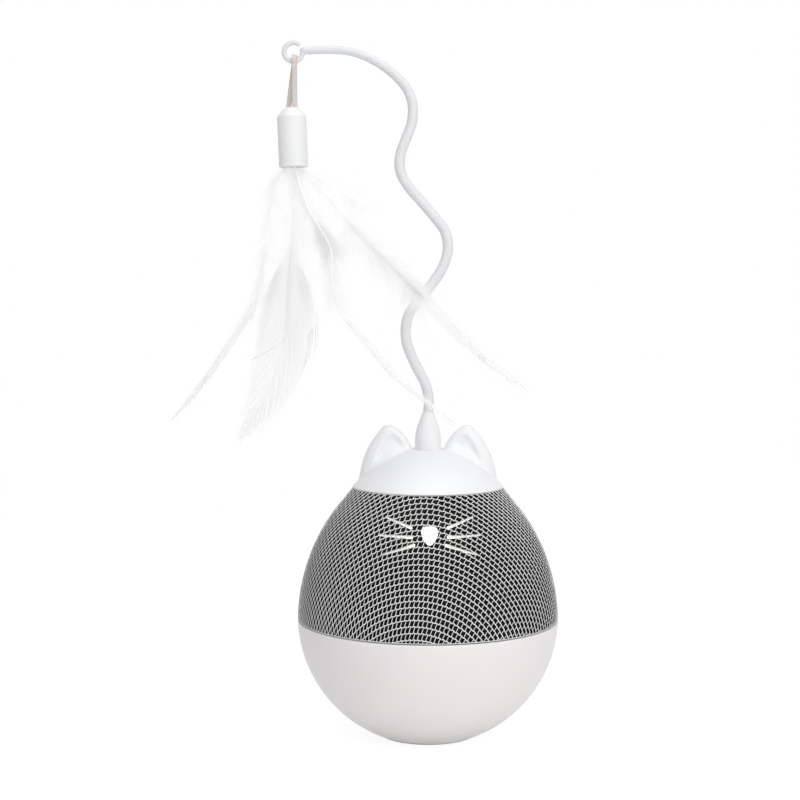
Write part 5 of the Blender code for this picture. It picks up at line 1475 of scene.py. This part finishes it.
def down(points, faces, spine, size, dice):
    """Tufts of loose wavy strands that stand off a spine, and stand out widest at its foot."""
    places = []
    for first, last, tufts, reach in size["down"]:
        places += [(first + (last - first) * (number + dice.random()) / tufts, reach)
                   for number in range(tufts)]
    for number, (share, reach) in enumerate(places):
        place, way, side, normal = on_spine(spine, share)
        crown = 1 - ease(share / CROWN_SHARE)
        length = reach * MM * dice.uniform(*TUFT_REACHES) * size["sides"][number % 2] * (1 - CROWN_TRIM * crown)
        out = side * (1 if number % 2 else -1) * dice.uniform(*TUFT_OUT) * (1 + crown)
        out += way * dice.uniform(*TUFT_FORWARD)
        out += normal * (size["behind"] + dice.uniform(-TUFT_DEPTH, TUFT_DEPTH))
        curl = random_vector(dice, (-1, 1), (-1, 1), (-1, 0.4)) * STRAND_CURL - Vector((0, 0, STRAND_SAG))
        for _ in range(dice.randint(*STRANDS_IN_TUFT)):
            spread = random_vector(dice, (-1, 1), (-1, 1), (-1, 1)) * STRAND_SPREAD
            aim = (out.normalized() + spread).normalized()
            strand_length = length * dice.uniform(*STRAND_REACHES)
            wave = dice.uniform(0, 2 * math.pi)
            start = place + way * dice.uniform(-FOOT_SCATTER, FOOT_SCATTER)
            path = []
            for s in shares(STRAND_STEPS):
                ripple = (side * math.sin(wave + 6 * s) + normal * math.cos(wave + 8 * s)) * STRAND_RIPPLE
                path.append(start + (aim * s + curl * s * s + ripple * s) * strand_length)
            half_widths = [STRAND_HALF_WIDTH * (1.2 - 0.8 * s) for s in shares(STRAND_STEPS)]
            turn = [dice.uniform(-STRAND_TURN, STRAND_TURN) for _ in range(2)]
            facing = normal + Vector((turn[0], 0, turn[1]))
            add_ribbon(points, faces, path, half_widths, facing)


print("tufts of", STRANDS_IN_TUFT, "strands")

# %% Feather sizes
LURE_DROP = 0.1155
FEATHERS = {
    "long_left_feather": {
        "depth": 0.0030, "lean": 0.10, "half_width": 0.0032, "barbs": 120, "vane_from": 0.44, "sweep": 6.0,
        "cover": (0.08, 0.08), "sides": (0.75, 1.0), "splits": 3, "behind": 0.1, "quill": 0.00024,
        "web": 0.75, "looks": (feather_sleek, feather_strong_glow),
        "down": ((0.0, 0.20, 40, 8), (0.10, 0.48, 70, 9), (0.42, 0.60, 16, 6)),
        "spine": ((-0.026, -0.003), (-0.069, -0.052), (-0.084, -0.116), (-0.113, -0.294), (-0.148, -0.476),
                  (-0.193, -0.560), (-0.310, -0.731), (-0.393, -0.840), (-0.470, -0.924)),
        "widths": (0.15, 0.45, 0.70, 0.90, 0.75, 0.62, 0.54, 0.42, 0.12)},
    "upper_down_plume": {
        "depth": 0.0019, "lean": 0.10, "sides": (0.9, 1.1), "behind": 0.1, "quill": 0.0001,
        "looks": (feather_strong_glow, feather_strong_glow), "down": ((0.0, 0.5, 30, 8), (0.40, 1.0, 34, 9)),
        "spine": ((0.020, -0.003), (0.080, -0.038), (0.160, -0.080), (0.205, -0.108), (0.245, -0.142))},
    "broad_feather": {
        "depth": 0.0008, "lean": 0.08, "half_width": 0.0128, "barbs": 650, "vane_from": 0.40, "sweep": 3.2,
        "cover": (0.40, 0.48), "sides": (0.90, 1.02), "splits": 5, "behind": -0.4, "quill": 0.00016,
        "looks": (feather_white, feather_strong_glow),
        "down": ((0.0, 0.25, 40, 12), (0.15, 0.45, 100, 14), (0.28, 0.54, 170, 12)),
        "spine": ((-0.008, -0.003), (-0.004, -0.116), (-0.011, -0.242), (-0.023, -0.390), (-0.034, -0.534),
                  (-0.062, -0.691), (-0.113, -0.836), (-0.168, -0.926), (-0.216, -1.000)),
        "widths": (0.30, 0.55, 0.80, 0.97, 1.00, 0.97, 0.74, 0.36, 0.05)},
    "long_right_feather": {
        "depth": -0.0003, "lean": -0.25, "half_width": 0.0072, "barbs": 110, "vane_from": 0.50, "sweep": 5.0,
        "cover": (0.07, 0.07), "sides": (1.0, 0.9), "splits": 4, "behind": -0.3, "quill": 0.00014,
        "web": 0.70, "looks": (feather_sleek, feather_white),
        "down": ((0.0, 0.30, 16, 8), (0.30, 0.62, 110, 14), (0.42, 0.60, 34, 11)),
        "spine": ((0.006, -0.003), (0.083, -0.073), (0.163, -0.160), (0.239, -0.251), (0.377, -0.385),
                  (0.468, -0.476), (0.603, -0.615), (0.694, -0.702), (0.825, -0.793)),
        "widths": (0.09, 0.35, 0.60, 0.85, 0.90, 0.50, 0.33, 0.20, 0.04)},
    "trailing_feather": {
        "depth": -0.0014, "lean": -0.225, "half_width": 0.0062, "barbs": 110, "vane_from": 0.42, "sweep": 6.0,
        "cover": (0.05, 0.05), "sides": (1.0, 1.0), "splits": 3, "behind": 0.6, "quill": 0.00042,
        "web": 0.40, "looks": (feather_sleek, feather_white),
        "down": ((0.0, 0.30, 130, 7), (0.20, 0.31, 170, 9), (0.28, 0.50, 50, 10)),
        "spine": ((0.004, -0.003), (0.050, -0.142), (0.098, -0.225), (0.138, -0.306), (0.141, -0.417),
                  (0.184, -0.534), (0.250, -0.609), (0.348, -0.735), (0.468, -0.826), (0.574, -0.909)),
        "widths": (0.12, 0.54, 0.84, 1.00, 0.90, 0.50, 0.36, 0.28, 0.20, 0.06)},
    "left_down_plume": {
        "depth": -0.0026, "lean": -0.10, "sides": (0.7, 1.0), "behind": 0.1, "quill": 0.00012,
        "looks": (feather_strong_glow, feather_strong_glow), "down": ((0.0, 0.25, 40, 7), (0.2, 1.0, 40, 9)),
        "spine": ((-0.018, -0.003), (-0.055, -0.080), (-0.077, -0.171), (-0.092, -0.240), (-0.099, -0.298))},
}
print(len(FEATHERS), "feathers")

# %% Growing the feathers
SPINE_STEPS = 80
QUILL_TAPER = 2.2


def lure_place(across, drop, depth):
    """A place on the lure, in shares of its drop, at a depth behind the ferrule's axis."""
    return lure_foot + Vector((LURE_DROP * across, depth, LURE_DROP * drop))


def feather_spine(size):
    """The quill's line, leaning forwards or back as it goes down."""
    knots, travelled, last = [], 0, (0, 0)
    for across, drop in size["spine"]:
        travelled += LURE_DROP * math.hypot(across - last[0], drop - last[1])
        last = (across, drop)
        knots.append(lure_place(across, drop, size["depth"] + size["lean"] * travelled))
    return smooth_path(knots, SPINE_STEPS)


for number, (name, size) in enumerate(FEATHERS.items()):
    dice = random.Random(number + 11)
    spine = feather_spine(size)
    parts = {"vane": ([], []), "down": ([], [])}
    if "barbs" in size:
        widths = [point.x for point in smooth_path([(width, 0, 0) for width in size["widths"]], SPINE_STEPS)]
        vane(*parts["vane"], spine, size, widths, dice)
        if "web" in size:
            web(*parts["vane"], spine, size, widths)
    down(*parts["down"], spine, size, dice)
    for (part, (points, faces)), look in zip(parts.items(), size["looks"]):
        if faces:
            piece = mesh_piece(f"{name}_{part}", points, faces, look, math.radians(60))
            dress(piece, "lure")
    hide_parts(name)
    quill_radii = [size["quill"] * (0.12 + 0.88 * (1 - share) ** QUILL_TAPER) for share in shares(SPINE_STEPS)]
    quill_look = quill_cream_glow if name == "trailing_feather" else feather_white
    quill = mesh_piece(f"{name}_quill", *sweep(spine, quill_radii, 8), quill_look)
    dress(quill, "lure")
    print(name, {part: len(faces) for part, (_, faces) in parts.items()})

# %% [markdown]
# Two small things catch the eye on the broad feather: a loose grey barb that lies across its face, and a few
# darker barbs that paint the shade in the gaps where its right edge has split.

# %% Grey barbs
LOOSE_BARB = ((-0.160, -0.695), (-0.120, -0.675), (-0.080, -0.652), (-0.045, -0.625), (-0.020, -0.600))
# darker barbs along the split that paint the shade in its gaps
SPLIT_SHADE_BARBS = (
    ((0.062, -0.585), (0.060, -0.640), (0.046, -0.700)), ((0.055, -0.590), (0.052, -0.650), (0.036, -0.715)),
    ((0.048, -0.600), (0.044, -0.660), (0.027, -0.728)), ((0.072, -0.560), (0.073, -0.630), (0.063, -0.690)),
    ((0.079, -0.520), (0.081, -0.600), (0.074, -0.665)), ((0.040, -0.680), (0.028, -0.730), (0.004, -0.785)),
)
LOOSE_DEPTH = 0.0015
LOOSE_LEAN = 0.0090 / 0.7
BARB_RADIUS = 0.00010
grey_points, grey_faces = [], []
for line in (LOOSE_BARB,) + SPLIT_SHADE_BARBS:
    knots = [lure_place(across, drop, LOOSE_LEAN * -drop - LOOSE_DEPTH) for across, drop in line]
    barb_radii = [BARB_RADIUS * (1 - 0.6 * share) for share in shares(12)]
    start = len(grey_points)
    barb_points, barb_faces = sweep(smooth_path(knots, 12), barb_radii, 5)
    grey_points += barb_points
    grey_faces += [tuple(corner + start for corner in face) for face in barb_faces]
dress(mesh_piece("broad_feather_grey_barbs", grey_points, grey_faces, grey_barb_and_split_shade), "lure")
print(len(SPLIT_SHADE_BARBS) + 1, "grey barbs")

# %% [markdown]
# ## Finishes for the mechanical pieces
#
# All other pieces keep their exact mechanical shape, and each gets the finish of what it is made of.

# %% Finishes for the mechanical pieces
def numbered(name, count):
    return [f"{name}_{number}" for number in range(1, count + 1)]


FINISHES = {
    "steel": (steel, ["ballast_ring", *numbered("contact_plate", 3), *numbered("contact_spring", 3),
                      "door_screw", *numbered("gearbox_screw", 3), "motor_can", "motor_shaft",
                      "first_axle", "second_axle", "output_shaft", "shaft_clip", "switch_body"]),
    "brass": (brass, ["output_bush"]),
    "black_plastic": (black_plastic, ["battery_holder", "gearbox_frame", "gearbox_cover", "motor_end_cap",
                                      "controller_chip", "switch_knob", "battery_lead_black",
                                      "motor_lead_black"]),
    "gear_plastic": (gear_plastic, ["output_gear", "second_gear", "first_gear", "motor_pinion"]),
    "cell_sleeve": (cell_sleeve, numbered("battery_cell", 3)),
    "board_green": (board_green, ["control_board"]),
    "lead_red": (lead_red, ["battery_lead_red", "switch_lead_red", "motor_lead_red"]),
    "clear_guide": (clear_guide, ["face_light_guide", "face_led"]),
    "grey_rubber": (grey_rubber, ["foot_ring", "door_pad"]),
    "shell_white": (shell_white, ["battery_door"]),
}
for slot, (finish, names) in FINISHES.items():
    for name in names:
        materials = nodes[name].data.materials
        materials.clear()
        materials.append(finish)
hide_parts("face_light_guide")
print(sum(len(names) for _, names in FINISHES.values()), "mechanical pieces dressed")
